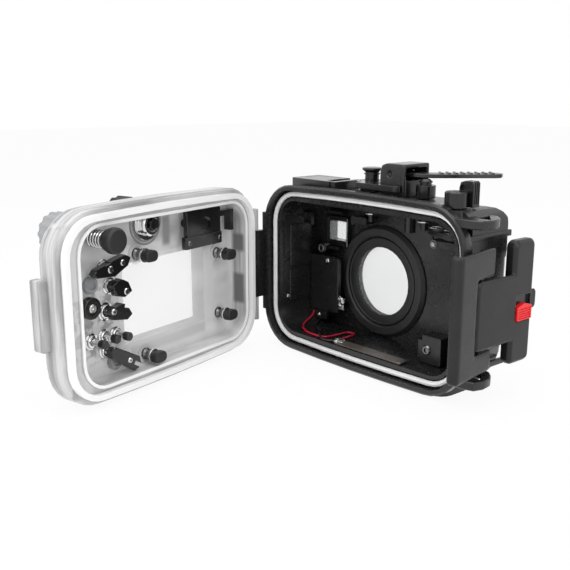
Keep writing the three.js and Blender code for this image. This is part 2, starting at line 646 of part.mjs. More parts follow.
function makeLeakPieces() {
  const front = wallFace - fit;
  const lidEnd = leak.face + leak.lid;
  const lid = block([leak.left, leak.right], [leak.face, lidEnd], [leak.low, leak.high], 'y',
    2 * rimChamfer, fit);
  const room = block([leak.left + rimChamfer, leak.left + leak.box], [lidEnd - rimChamfer, front],
    [leak.low + 3 * rimChamfer, leak.high - rimChamfer], 'y', 2 * rimChamfer);
  const panel = join(lid, room);
  const corner = block([leak.right - leak.foot, leak.right + overrun],
    [leak.face - overrun, leak.face + leak.footStep],
    [leak.low - overrun, leak.low + leak.footStep], 'y', 0);
  const screwSeat = rod(2 * rimChamfer, leak.face - overrun, leak.face + rimChamfer, 'y',
    [(leak.left + leak.right) / 2 + sideWall / 2, 0, leak.high - sideWall / 2], 0, smallTurnSteps);
  const floor = -cavityTop + fit;
  const sensor = block([strip.left, strip.right], [strip.rear, strip.front], [floor, floor + strip.thick],
    'z', 0);
  const clipLeft = leak.right + fit;
  const clipShape = new THREE.Shape();
  clipShape.moveTo(leak.face + clip.sheet, clip.low);
  clipShape.lineTo(leak.face + clip.sheet, clip.high);
  clipShape.lineTo(leak.face + clip.fold, clip.high);
  clipShape.lineTo(leak.face + clip.fold, clip.high - clip.sheet);
  clipShape.lineTo(leak.face + 2 * clip.sheet, clip.high - clip.sheet);
  clipShape.lineTo(leak.face + 2 * clip.sheet, clip.low + clip.sheet);
  clipShape.lineTo(leak.face + clip.fold, clip.low + clip.sheet);
  clipShape.lineTo(leak.face + clip.fold, clip.low);
  const contact = prism(clipShape, 'x', clipLeft, clipLeft + clip.width, 0);
  return [
    meshOf('leak_alarm_cover', cut(panel, corner, screwSeat), finish('#2c2c2f', 0.55)),
    meshOf('leak_sensor_strip', sensor, finish('#5a5148', 0.5, 0.3)),
    meshOf('leak_contact_clip', contact, finish('#b9b9b6', 0.3, 0.9)),
    meshOf('leak_wire_red', tube(redRoute, wireRadius, 34), finish('#b51330', 0.45)),
    meshOf('leak_wire_black', tube(blackRoute, wireRadius, 24), finish('#1c1c1e', 0.5)),
  ];
}

function makeChamberPieces() {
  const front = wallFace - fit;
  const right = cavityRight - fit;
  const plate = block([shelf.left, right], [shelf.rear, front], [shelfLow, shelfHigh], 'z', rimChamfer,
    fit);
  const upright = block([shelf.plateLeft, shelf.plateRight], [shelf.plateRear, front],
    [shelfHigh - overrun, shelfHigh + shelf.plateRise], 'y', rimChamfer);
  const floor = -cavityTop + fit;
  const body = block([stop.left, stop.right], [stop.rear, stop.front], [floor, stopHigh], 'y', rimChamfer,
    fit);
  const notch = block([stop.left - overrun, stop.left + stop.seat],
    [stop.rear - overrun, stop.front + overrun],
    [stopHigh - stop.seat, stopHigh + overrun], 'y', 0);
  const screwSeat = rod(stop.hole, stop.rear - overrun, stop.rear + rimChamfer, 'y',
    [(stop.left + stop.right) / 2 - rimChamfer, 0, (floor + stopHigh) / 2], 0, smallTurnSteps);
  return [
    meshOf('camera_shelf', join(plate, upright), finish('#29292b', 0.5)),
    meshOf('camera_stop_block', cut(body, notch, screwSeat), finish('#222224', 0.5)),
  ];
}

function makeShoe() {
  const base = deckTop + fit;
  const top = base + shoe.top;
  const body = block([shoe.left, shoe.right], [shoe.rear, shoe.front], [base, top], 'z', shoe.round, fit);
  const slot = block([shoe.slotLeft, shoe.slotRight], [shoe.slotRear, shoe.front + overrun],
    [top - shoe.slotDepth, top + overrun], 'z', 0);
  const recess = block([shoe.left + shoe.border, shoe.slotLeft - shoe.border],
    [shoe.rear + shoe.border, shoe.front - shoe.border],
    [top - shoe.recess, top + overrun], 'z', shoe.round);
  const slit = block([shoe.slotRight - shoe.slit, shoe.slotRight],
    [shoe.rear - overrun, shoe.slotRear + overrun], [base + shoe.slit, top + overrun], 'z', 0);
  return meshOf('cold_shoe', cut(body, slot, recess, slit), finish('#3a3a3c', 0.5));
}

function makeBridge() {
  const base = deckTop + fit;
  const top = base + bridge.top;
  const profile = new THREE.Shape();
  profile.moveTo(bridge.left, base);
  profile.lineTo(bridge.right, base);
  profile.lineTo(bridge.right, top);
  profile.lineTo(bridge.left + bridge.round, top);
  profile.quadraticCurveTo(bridge.left, top, bridge.left, top - bridge.round);
  const cover = prism(profile, 'y', bridge.rear, bridge.front, rimChamfer / 2);
  const room = block([bridge.left + bridge.wall, bridge.right + overrun],
    [bridge.rear + bridge.wall, bridge.front - bridge.wall],
    [base - overrun, top - bridge.wall], 'y', 0);
  const pivot = rod(shutter.thick / 2 + fit, bridge.rear - overrun, bridge.front + overrun, 'y',
    [shutter.pivotX, 0, deckTop + shutter.under + shutter.thick / 2], 0, smallTurnSteps);
  return meshOf('shutter_bridge', cut(cover, room, pivot), finish('#2d2d2f', 0.5));
}

function makeShutterLever() {
  const under = deckTop + shutter.under;
  const run = new THREE.Vector2(shutterRun.tipX - shutterRun.bendX, shutterRun.tipY - shutterRun.bendY);
  const length = run.length();
  const along = run.clone().normalize();
  const across = new THREE.Vector2(along.y, -along.x);
  const half = shutter.width / 2;
  const place = (distance, side) => new THREE.Vector2(shutterRun.bendX, shutterRun.bendY)
    .addScaledVector(along, distance).addScaledVector(across, side);
  const shape = new THREE.Shape();
  const rootLow = shutterRun.rootY - shutter.rootWidth / 2;
  const rootHigh = shutterRun.rootY + shutter.rootWidth / 2;
  shape.moveTo(shutterRun.rootX, rootLow);
  shape.lineTo(shutterRun.bendX - half, rootLow);
  const nearBend = place(half, half);
  shape.quadraticCurveTo(shutterRun.bendX + half / 2, rootLow, nearBend.x, nearBend.y);
  const nearEnd = place(length - half, half);
  shape.lineTo(nearEnd.x, nearEnd.y);
  const heading = Math.atan2(across.y, across.x);
  const tipCentre = place(length - half, 0);
  shape.absarc(tipCentre.x, tipCentre.y, half, heading, heading + Math.PI);
  const farBend = place(half, -half);
  shape.lineTo(farBend.x, farBend.y);
  shape.lineTo(shutterRun.bendX - shutter.width, rootHigh);
  shape.lineTo(shutterRun.rootX, rootHigh);
  const plate = prism(shape, 'z', under, under + shutter.thick, fit, roundSteps);
  const ribs = [];
  for (let rib = 0; rib < shutter.ribs; rib++) {
    const distance = length * (0.3 + 0.62 * rib / (shutter.ribs - 1)) - half / 2;
    const bar = new THREE.BoxGeometry(shutter.ribWide, shutter.width - 4 * fit, 2 * shutter.rib);
    bar.rotateZ(Math.atan2(along.y, along.x));
    const centre = place(distance, 0);
    bar.translate(centre.x, centre.y, under + shutter.thick);
    ribs.push(solid(bar));
  }
  const trunnion = rod(shutter.thick / 2, bridge.rear + fit, bridge.front - fit, 'y',
    [shutter.pivotX, 0, under + shutter.thick / 2], 0, smallTurnSteps);
  return meshOf('shutter_lever', join(plate, trunnion, ...ribs), finish('#2f2f31', 0.5));
}

// A stem with a head that slides in a gland on the deck and reaches into the chamber
function makeShutterPlunger() {
  const base = deckTop + fit;
  const gland = annulus(plunger.stem + fit, plunger.gland, base, base + plunger.glandTop, 'z',
    [plunger.x, plunger.y, 0], rimChamfer / 2);
  const top = deckTop + shutter.under - fit;
  const shoulder = base + plunger.glandTop / 2;
  const body = turned([
    [0, cavityTop - plunger.reach], [plunger.pinRadius, cavityTop - plunger.reach],
      [plunger.pinRadius, shoulder],
    [plunger.stem, shoulder], [plunger.stem, top - rimChamfer], [plunger.stem - rimChamfer, top],
      [0, top],
  ], 'z', [plunger.x, plunger.y, 0]);
  return [
    meshOf('shutter_gland', gland, finish('#1f1f21', 0.4)),
    meshOf('shutter_plunger', body, finish('#8c8c8e', 0.3, 0.8)),
  ];
}

function makeTopButton() {
  const base = deckTop + fit;
  const gland = annulus(button.stem + fit, button.gland, base, base + button.glandTop, 'z',
    [button.x, button.y, 0], rimChamfer / 2);
  const top = deckTop + button.capTop;
  const under = top - button.capThick;
  const gap = base + 2 * rimChamfer + fit;
  const body = turned([
    [0, cavityTop - plunger.reach], [stem.radius, cavityTop - plunger.reach], [stem.radius, gap],
      [button.stem, gap],
    [button.stem, under - rimChamfer], [button.cap - fit, under], [button.cap, under + fit],
      [button.cap, top - fit],
    [button.cap - rimChamfer, top], [0, top],
  ], 'z', [button.x, button.y, 0]);
  return [
    meshOf('button_gland', gland, finish('#232325', 0.4)),
    meshOf('top_button', body, finish('#2a2a2c', 0.4)),
  ];
}

function makePowerLever() {
  const top = deckTop + power.top;
  const hub = annulus(button.gland + fit, button.gland + power.root, top - power.thick, top, 'z',
    [button.x, button.y, 0]);
  const end = button.x + power.right;
  const armY = bridge.rear - fit - power.width / 2;
  const arm = block([button.x + power.root, end], [armY - power.width / 2, armY + power.width / 2],
    [top - power.thick, top], 'z', 0);
  const root = block([button.x, button.x + 2 * power.width], [armY - power.width / 2, button.y],
    [top - power.thick, top], 'z', 0);
  const tipRound = rod(power.width / 2, top - power.thick, top, 'z', [end, armY, 0]);
  const window = rod(button.gland + fit, top - power.thick - overrun, top + overrun, 'z',
    [button.x, button.y, 0]);
  return meshOf('power_lever', cut(join(hub, arm, root, tipRound), window), finish('#2d2d2f', 0.5));
}

function makeDial() {
  const centre = [dialX, dial.y, 0];
  const base = dialSeatTop + fit;
  const hub = rod(dial.hub, base, dialTop, 'z', centre, rimChamfer / 2);
  const shaft = rod(dial.shaft, dialArmTop - dial.armThick, base + overrun, 'z', centre, 0,
    smallTurnSteps);
  const profile = new THREE.Shape();
  profile.moveTo(paddleLeft, base + fit);
  profile.lineTo(paddleRight, base + fit);
  profile.lineTo(paddleRight, paddleTop - rimChamfer);
  profile.lineTo(paddleRight - rimChamfer, paddleTop);
  profile.lineTo(paddleLeft + paddle.round, paddleTop);
  profile.quadraticCurveTo(paddleLeft, paddleTop, paddleLeft, paddleTop - paddle.round);
  const grip = prism(profile, 'y', paddle.rear, paddle.front, fit);
  const web = block([dialX, paddleRight - paddle.round], [dial.y, paddle.front - rimChamfer],
    [base + fit, dialTop - rimChamfer], 'z', 0);
  const flutes = [1, 2, 3].map((index) => {
    const y = paddle.rear + index * (paddle.front - paddle.rear) / 4;
    return block([paddleRight - paddle.flute, paddleRight + overrun],
      [y - paddle.flute / 2, y + paddle.flute / 2],
      [base + 2 * rimChamfer, paddleTop + overrun], 'z', 0);
  });
  const recess = block([paddleLeft + rimChamfer, paddleRight - paddle.round],
    [paddle.rear - overrun, paddle.rear + paddle.recess],
    [dialTop + fit, paddleTop - 2 * rimChamfer], 'y', fit);
  return meshOf('dial_lever', cut(join(hub, shaft, grip, web), ...flutes, recess),
    finish('#2b2b2d', 0.45));
}

// The dial's inner arm with its spring wire, carried on the same shaft under the chamber's top
function makeDialInside() {
  const top = dialArmTop - dial.armThick - fit;
  const reach = new THREE.Vector2(dial.armEndX - dialX, dial.armEndY - dial.y);
  const length = reach.length();
  const shape = new THREE.Shape();
  shape.absarc(0, 0, dial.armWidth / 2 + rimChamfer, Math.PI / 2, 1.5 * Math.PI);
  shape.absarc(length, 0, dial.armWidth / 2, -Math.PI / 2, Math.PI / 2);
  const arm = new THREE.ExtrudeGeometry(shape,
    { depth: dial.armThick, bevelEnabled: false, curveSegments: roundSteps });
  arm.rotateZ(Math.atan2(reach.y, reach.x));
  arm.translate(dialX, dial.y, top - dial.armThick);
  const pin = rod(dial.pin, top - dial.armThick - dial.pinDrop, top - fit, 'z',
    [dial.armEndX, dial.armEndY, 0], 0, smallTurnSteps);
  const wireHigh = top + fit + dial.wire;
  const [x, y] = [dialX, dial.y];
  const loop = 2.6 * dial.pin;
  const wirePath = [
    [x - dial.shaft, y + dial.armWidth, wireHigh], [x - 2 * dial.armWidth, y + dial.armWidth, wireHigh],
    [dial.armEndX + dial.armWidth, dial.armEndY + loop, wireHigh],
      [dial.armEndX, dial.armEndY + loop, wireHigh],
    [dial.armEndX - loop, dial.armEndY, wireHigh], [dial.armEndX, dial.armEndY - loop, wireHigh],
    [dial.armEndX + dial.armWidth, dial.armEndY - loop, wireHigh],
  ];
  return [
    meshOf('dial_inner_arm', join(solid(arm), pin), finish('#1d1d1f', 0.5)),
    meshOf('dial_torsion_wire', tube(wirePath, dial.wire, 22, 6), finish('#c9c9c7', 0.2, 1)),
  ];
}

function makeTripodInsert() {
  const base = -centreUp + tripod.flange;
  const top = -centreUp + tripod.depth;
  const centre = [tripod.x, footMiddle, 0];
  const body = cut(rod(tripod.radius, base, top, 'z', centre),
    rod(tripod.bore, base - overrun, top - rimChamfer, 'z', centre));
  return meshOf('tripod_insert', body, finish('#b8b8b6', 0.3, 0.9));
}

function makePins() {
  const doorHighEnd = hinge.doorHigh - rimChamfer;
  const doorLowEnd = hinge.doorLow + rimChamfer;
  const long = rod(hinge.pin, doorLowEnd, doorHighEnd, 'z', [hingeX, hingeY, 0], fit, smallTurnSteps);
  const short = rod(latch.pin, lever.slabLow + fit, lever.slabHigh - fit, 'z', [fulcrum.x, fulcrum.y, 0],
    fit, smallTurnSteps);
  return [
    meshOf('hinge_pin', long, finish('#c4c4c2', 0.25, 1)),
    meshOf('latch_fulcrum_pin', short, finish('#c4c4c2', 0.25, 1)),
  ];
}

// Latch lever: a T-shaped moulding, hollow behind, with knuckles on the fulcrum and bosses on the hook
// pin
function makeLatchLever() {
  const face = halfWidth + lever.face;
  const slabIn = face - lever.slab;
  const slab = block([slabIn, face], [latch.seam, lever.rear + lever.round],
    [lever.slabLow, lever.slabHigh], 'x', 2 * rimChamfer, rimChamfer);
  const headIn = halfWidth + lever.inner;
  const head = block([headIn, face], [lever.rear, lever.front], [lever.low, lever.high], 'x', lever.round,
    1.6 * rimChamfer);
  const hollow = block([headIn - overrun, slabIn], [lever.rear + lever.wall, lever.front - lever.wall],
    [lever.low + lever.wall, lever.high - lever.wall], 'x', lever.round - rimChamfer);
  const crossRib = block([headIn + rimChamfer, face - rimChamfer], [lever.rear, lever.front - rimChamfer],
    [slider.high + slider.travel + lever.wall, slider.high + slider.travel + 2 * lever.wall], 'x', 0);
  const lowRib = block([headIn + rimChamfer, face - rimChamfer], [lever.rear, lever.front - rimChamfer],
    [slider.low - 2 * lever.wall, slider.low - lever.wall], 'x', 0);
  const bump = block([slabIn, face - rimChamfer], [lever.front - lever.wall, lever.front + lever.bumpOut],
    [lever.bumpLow, lever.bumpHigh], 'x', lever.bumpOut / 2, rimChamfer / 2);
  let body = join(cut(join(slab, head), hollow), crossRib, lowRib, bump);
  for (const index of [0, 2, 4]) {
    const [low, high] = knuckleSpan(index);
    body = join(body, prism(tabShape(fulcrum, latch.knuckle, face - rimChamfer), 'z', low, high, 0,
      halfTurnSteps));
    body = join(body, prism(tabShape(hookPin, latch.knuckle, face - rimChamfer), 'z', low, high, 0,
      halfTurnSteps));
  }
  const pocket = block([face - slider.depth - fit, face + overrun],
    [slider.rear - fit, slider.front + fit],
    [slider.low - fit, slider.high + slider.travel + fit], 'x', 0);
  const fulcrumHole = rod(latch.pin + fit, lever.slabLow - overrun, lever.slabHigh + overrun, 'z',
    [fulcrum.x, fulcrum.y, 0], 0, smallTurnSteps);
  const pinHole = rod(latch.pin + fit, lever.slabLow - overrun, lever.slabHigh + overrun, 'z',
    [hookPin.x, hookPin.y, 0], 0, smallTurnSteps);
  return meshOf('latch_lever', cut(body, pocket, fulcrumHole, pinHole), finish('#333335', 0.5));
}

function makeLockSlider() {
  const face = halfWidth + lever.face;
  const shape = new THREE.Shape();
  shape.moveTo(slider.rear, slider.low);
  shape.lineTo(slider.front, slider.low);
  shape.lineTo(slider.front, slider.high - slider.peak);
  shape.lineTo((slider.rear + slider.front) / 2, slider.high);
  shape.lineTo(slider.rear, slider.high - slider.peak);
  const body = prism(shape, 'x', face - slider.depth, face + slider.proud, fit);
  const grooves = [];
  const grooveStep = (slider.high - slider.low - slider.peak) / 6;
  for (let index = 1; index <= 5; index++) {
    const z = slider.low + index * grooveStep;
    grooves.push(block([face + slider.proud / 3, face + slider.proud + overrun],
      [slider.rear + rimChamfer, slider.front - rimChamfer],
      [z - grooveStep / 4, z + grooveStep / 4], 'x', 0));
  }
  return meshOf('lock_slider', cut(body, ...grooves), finish('#e0141c', 0.4));
}

// The hook hangs on its pin: two arms, a full-height spine and a rear wall that grips the door's lug
function makeLatchHook() {
  const face = halfWidth + hook.face;
  const inner = face - hook.side;
  const ends = [[hook.armHigh, hook.high], [hook.low, hook.armLow]];
  const spine = block([inner, face], [hook.rear, hook.spineEnd], [hook.low, hook.high], 'x', hook.round,
    rimChamfer);
  const wall = block([halfWidth + hook.inner, face], [hook.rear, hook.rear + hook.wall],
    [hook.low, hook.high], 'y', hook.round, rimChamfer);
  let body = join(spine, wall);
  for (const [low, high] of ends) {
    body = join(body, block([inner, face], [hook.rear + hook.wall, hook.armEnd], [low, high], 'x',
      hook.round, rimChamfer));
    body = join(body, prism(tabShape(hookPin, latch.knuckle, face - rimChamfer), 'z', low + fit,
      high - rimChamfer, 0, halfTurnSteps));
  }
  const pinRoom = rod(latch.pin + fit, hook.low + 2 * rimChamfer, hook.high - 2 * rimChamfer, 'z',
    [hookPin.x, hookPin.y, 0], 0, smallTurnSteps);
  body = cut(body, pinRoom);
  return meshOf('latch_hook', body, finish('#363638', 0.5));
}

function makeHookPin() {
  const pin = rod(latch.pin, hook.low + 3 * rimChamfer, hook.high - 3 * rimChamfer, 'z',
    [hookPin.x, hookPin.y, 0], fit, smallTurnSteps);
  return meshOf('latch_hook_pin', pin, finish('#c4c4c2', 0.25, 1));
}

// Door, modelled as it lies when closed
function doorOutline(inset, bow = rimBow) {
  return rimOutline(door.edgeInset + inset, bow);
}

function doorPlace([xShare, zShare]) {
  return [xShare * trayRight, zShare * trayTop];
}

function doorSkin() {
  const top = -door.gap;
  const flangeEnd = top - door.flange;
  const rows = [
    [doorBack, door.backInset + 2 * rimChamfer], [doorBack + 2 * rimChamfer, door.backInset],
      [flangeEnd - 2 * rimChamfer, door.backInset],
    [flangeEnd, rimChamfer], [flangeEnd + rimChamfer, 0], [top - rimChamfer, 0], [top, rimChamfer],
  ];
  return loft(rows.map(([y, inset]) => ({ y, points: doorOutline(inset) })));
}

// The tray's outline in x and z, grown by a margin; its far side has a thicker wall
function trayShape(grow) {
  const points = roundedOutline(2 * (trayRight + grow) - door.farWall, 2 * (trayTop + grow),
    rimRadius - cavityInset + grow, 0);
  return outlineShape(points.map((point) => new THREE.Vector2(point.x - door.farWall / 2, point.y)));
}

function raisedFrame(outerInset, width, high) {
  const outer = prism(outlineShape(rimOutline(outerInset)), 'y', -door.gap - overrun, high);
  return cut(outer, prism(outlineShape(rimOutline(outerInset + width)), 'y', -door.gap - 2 * overrun,
    high + overrun));
}

function doorHinge() {
  const spans = [[hinge.high + fit, hinge.doorHigh], [hinge.doorLow, hinge.low - fit]];
  const root = -halfWidth + door.edgeInset + 2 * rimChamfer;
  const axis = new THREE.Vector2(hingeX, hingeY);
  const tabs = spans.map(([low, high]) => prism(tabShape(axis, hinge.radius, root), 'z', low, high, 0,
    halfTurnSteps));
  return join(...tabs);
}

function makeDoorShell() {
  const edge = halfWidth - door.edgeInset;
  const lug = block([edge - overrun, edge + lugOut.thickness - door.edgeInset + fit],
    [-lugOut.rear, -lugOut.front], [lugOut.low, lugOut.high], 'z', rimChamfer, rimChamfer / 2);
  const [knobX, knobZ] = doorPlace([knob.xShare, knob.zShare]);
  const [controlX, controlZ] = doorPlace([control.xShare, control.zShare]);
  const bump = rod(control.bump, doorBack, -door.gap - control.bumpDown, 'y', [controlX, 0, controlZ]);
  const lip = prism(trayShape(door.innerLip), 'y', -door.gap - overrun, door.innerLipHigh);
  let body = join(doorSkin(), lug, raisedFrame(door.ridgeInset, door.ridge, door.ridgeHigh), lip,
    doorHinge(), bump);
  const tray = prism(trayShape(0), 'y', doorWallFace, door.ridgeHigh + overrun);
  const pocket = rod(control.pocket, doorWallFace, doorWallFace + sideWall, 'y', [controlX, 0, controlZ]);
  const screen = block([-0.58 * trayRight, 0.36 * trayRight], [doorBack - overrun, doorBack + door.panel],
    [-0.69 * trayTop, 0.4 * trayTop], 'y', rimChamfer);
  const holes = [[knobX, knobZ, knob.shaft], [controlX, controlZ, control.shaft]];
  const stems = [...armShares.map((shares) => shares.hub), fork.hubShare, ...tipShares,
    [ring.xShare, ring.zShare]];
  stems.forEach((share) => holes.push([...doorPlace(share), stem.radius]));
  body = cut(body, tray, pocket, screen);
  for (const [x, z, radius] of holes) {
    body = cut(body, rod(radius + fit, doorBack - overrun, doorWallFace + overrun, 'y', [x, 0, z], 0,
      smallTurnSteps));
  }
  const pinLow = hinge.doorLow + rimChamfer - fit;
  const pinHigh = hinge.doorHigh - rimChamfer + fit;
  body = cut(body, rod(hinge.pin + fit, pinLow, pinHigh, 'z', [hingeX, hingeY, 0], 0, smallTurnSteps));
  return meshOf('door_shell', body, finish('#e6e8e9', 0.12));
}

function makeBumpers() {
  return bumperShares.flatMap((share, index) => {
    const [x, z] = doorPlace(share);
    const foot = doorWallFace + fit;
    const top = foot + bumper.postHigh;
    const post = turned([
      [0, foot], [bumper.post, foot], [bumper.post, foot + rimChamfer],
        [bumper.neck, foot + 2 * rimChamfer],
      [bumper.neck, foot + 3 * rimChamfer], [bumper.post, foot + 4 * rimChamfer], [bumper.post, top],
        [0, top],
    ], 'y', [x, 0, z], smallTurnSteps);
    const capBase = top + fit;
    const cap = block([x - bumper.wide, x + bumper.wide], [capBase, doorWallFace + bumper.high],
      [z - bumper.tall, z + bumper.tall], 'y', bumper.tall - fit, rimChamfer / 2);
    return [
      meshOf(`bumper_post_${index + 1}`, post, finish('#3a3a3c', 0.25, 0.7)),
      meshOf(`bumper_cap_${index + 1}`, cap, finish('#19191b', 0.5)),
    ];
  });
}

function makeBracket() {
  const rear = doorWallFace + fit;
  const back = bracketFront - bracket.plate;
  const plate = block([bracket.left, bracket.right], [back, bracketFront], [bracket.low, bracket.high],
    'y', rimChamfer, fit);
  const barFront = bracketFront + bracket.barRise;
  const bar = block([bracket.left, bracket.barRight], [barFront - bracket.barThick, barFront],
    [bracket.barLow, bracket.barHigh], 'y', rimChamfer / 2, fit);
  const hookBack = bracketFront - bracket.hookDeep;
  const arm = block([bracket.armLeft, bracket.left + overrun], [hookBack, bracketFront - fit],
    [bracket.armHigh - bracket.armThick, bracket.armHigh], 'y', fit);
  const drop = block([bracket.armLeft, bracket.armLeft + bracket.hookWide],
    [hookBack, bracketFront - fit], [bracket.armLow, bracket.armHigh], 'y', fit);
  const hole = rod(bracket.hole, back - overrun, bracketFront + overrun, 'y',
    [bracket.holeX, 0, bracket.holeZ]);
  const core = rod(bracket.core, back + fit, bracketFront - fit, 'y',
    [bracket.holeX + bracket.coreShift, 0, bracket.holeZ]);
  const middle = (bracket.low + bracket.high) / 2;
  const posts = [bracket.left + bracket.postInset, bracket.right - bracket.postInset].map((x) =>
    rod(bracket.post, rear, back + fit, 'y', [x, 0, middle], 0, smallTurnSteps));
  const body = join(cut(join(plate, bar, arm, drop), hole), core, ...posts);
  return meshOf('eyepiece_bracket', body, finish('#1b1b1d', 0.5));
}

// A fluted knob behind the door
function flutedKnob(radius, from, to, flutes, depth, centre) {
  const shape = new THREE.Shape();
  const points = flutes * 4;
  for (let index = 0; index < points; index++) {
    const angle = 2 * Math.PI * index / points;
    const reach = index % 4 < 2 ? radius : radius - depth;
    const place = [centre[0] + reach * Math.cos(angle), centre[2] + reach * Math.sin(angle)];
    if (index === 0) shape.moveTo(...place);
    else shape.lineTo(...place);
  }
  return prism(shape, 'y', from, to, depth, 1);
}

function makeThumbKnob() {
  const [x, z] = doorPlace([knob.xShare, knob.zShare]);
  const centre = [x, 0, z];
  const top = doorBack - knob.clearFrom;
  const grip = flutedKnob(knob.clear, top - knob.clearLong, top, knob.flutes, knob.flute, centre);
  const shaft = rod(knob.shaft, top - overrun, capRear + overrun, 'y', centre, fit, smallTurnSteps);
  const wheelBack = capRear;
  const wheel = turned([
    [knob.shaft + fit, wheelBack], [knob.cap - rimChamfer, wheelBack],
      [knob.cap - rimChamfer / 2, wheelBack + 2 * rimChamfer],
    [knob.cap, wheelBack + 3 * rimChamfer], [knob.cap, capFront - rimChamfer],
      [knob.cap - rimChamfer, capFront],
    [0, capFront], [0, capRear + overrun + knob.slide + fit],
      [knob.shaft + fit, capRear + overrun + knob.slide + fit],
    [knob.shaft + fit, wheelBack],
  ], 'y', centre);
  return [
    meshOf('thumb_knob', join(grip, shaft), finish('#dfe2e3', 0.15)),
    meshOf('thumb_wheel', wheel, finish('#161618', 0.6)),
    meshOf('thumb_spring', coilSpring(centre, doorWallFace + fit, capRear - fit),
      finish('#c8c8c6', 0.2, 1)),
  ];
}

// The least clear distance between one turn of the spring and the next, measured on its points
function leastTurnGap(centres) {
  let least = Infinity;
  for (let first = 0; first < centres.length; first++) {
    for (let other = first + coil.stepsPerTurn - 1; other < centres.length; other++) {
      least = Math.min(least, centres[first].distanceTo(centres[other]) - 2 * coil.wire);
    }
  }
  return least;
}

// A coil spring along y as one unbroken tube of round wire, its ends straight for one wire thickness
function coilSpring([x, , z], from, to) {
  const low = from + coil.wire;
  const high = to - coil.wire;
  const steps = coil.turns * coil.stepsPerTurn;
  const centres = [];
  for (let step = 0; step <= steps; step++) {
    const angle = 2 * Math.PI * step / coil.stepsPerTurn;
    const y = low + (high - low) * step / steps;
    centres.push(new THREE.Vector3(x + coil.radius * Math.cos(angle), y,
      z + coil.radius * Math.sin(angle)));
  }
  const leastGap = leastTurnGap(centres);
  centres.unshift(centres[0].clone().addScaledVector(zAxis, -2 * coil.wire));
  centres.push(centres[steps + 1].clone().addScaledVector(zAxis, 2 * coil.wire));
  const places = [];
  centres.forEach((centre) => {
    const outward = new THREE.Vector3(centre.x - x, 0, centre.z - z).normalize();
    for (let side = 0; side < coil.sides; side++) {
      const angle = 2 * Math.PI * side / coil.sides;
      places.push(centre.clone().addScaledVector(outward,
        coil.wire * Math.cos(angle)).addScaledVector(yAxis, coil.wire * Math.sin(angle)));
    }
  });
  const faces = [];
  const last = centres.length - 1;
  for (let step = 0; step < last; step++) {
    for (let side = 0; side < coil.sides; side++) {
      const a = step * coil.sides + side;
      const b = step * coil.sides + (side + 1) % coil.sides;
      faces.push(a, b, a + coil.sides, b, b + coil.sides, a + coil.sides);
    }
  }
  for (let side = 1; side < coil.sides - 1; side++) {
    faces.push(0, side + 1, side);
    const end = last * coil.sides;
    faces.push(end, end + side, end + side + 1);
  }
  console.log(`spring: least gap between turns ${leastGap.toFixed(2)} mm`);
  const geometry = new THREE.BufferGeometry();
  geometry.setAttribute('position', new THREE.Float32BufferAttribute(places.flatMap((place) =>
    place.toArray()), 3));
  geometry.setIndex(faces);
  return solid(geometry);
}

function makeControlKnob() {
  const [x, z] = doorPlace([control.xShare, control.zShare]);
  const centre = [x, 0, z];
  const top = doorBack - control.from;
  const grip = flutedKnob(control.outer, top - control.long, top, control.flutes, control.flute, centre);
  const hexBack = hexFront - control.hexLong;
  const shaft = rod(control.shaft, top - overrun, hexBack - fit, 'y', centre, fit, smallTurnSteps);
  const driver = cut(
    rod(control.hex, hexBack, hexFront, 'y', centre, fit, 6),
    rod(control.hex / 2, hexFront - rimChamfer, hexFront + overrun, 'y', centre, 0, 6),
  );
  const foot = doorWallFace + fit;
  const bore = control.hex + 2 * fit;
  const gland = turned([
    [bore, foot], [control.gland, foot], [control.gland, foot + control.flangeHigh],
      [control.ring, foot + control.flangeHigh],
    [control.ring, foot + control.ringHigh], [control.ring - rimChamfer, foot + control.glandHigh],
      [bore, foot + control.glandHigh],
    [bore, foot],
  ], 'y', centre);
  return [
    meshOf('control_knob', join(grip, shaft), finish('#1f1f21', 0.5)),
    meshOf('knob_driver', driver, finish('#151517', 0.5)),
    meshOf('knob_gland', gland, finish('#c9c9c7', 0.15, 1)),
  ];
}

// A push stem through the door with its cap behind
function pushStem(x, z, front) {
  const capTop = doorBack - stem.capGap;
  const centre = [x, 0, z];
  const shaft = rod(stem.radius, capTop - overrun, front, 'y', centre, fit, smallTurnSteps);
  return join(shaft, rod(stem.cap, capTop - stem.capLong, capTop, 'y', centre, rimChamfer / 2,
    smallTurnSteps));
}

// An offset arm carried by a push stem: a tapered bar from the stem to the point it presses
function armBar([hubX, hubZ], [endX, endZ], wide, wideEnd) {
  const shape = new THREE.Shape();
  const angle = Math.atan2(endZ - hubZ, endX - hubX);
  shape.absarc(hubX, hubZ, wide / 2, angle + Math.PI / 2, angle + 1.5 * Math.PI);
  shape.absarc(endX, endZ, wideEnd / 2, angle - Math.PI / 2, angle + Math.PI / 2);
  return prism(shape, 'y', armFront - armThick, armFront, fit, roundSteps - 1);
}

function makeOffsetArms() {
  return armShares.map((shares, index) => {
    const hub = doorPlace(shares.hub);
    const end = doorPlace(shares.end);
    const foot = doorPlace(shares.foot);
    const wide = shares.wide * armWide;
    const body = join(
      pushStem(hub[0], hub[1], armFront - rimChamfer),
      armBar(hub, end, wide, shares.wideEnd * armWide),
      armBar(hub, foot, wide - rimChamfer, wide / 2),
    );
    return meshOf(`offset_arm_${index + 1}`, body, finish('#19191b', 0.5));
  });
}

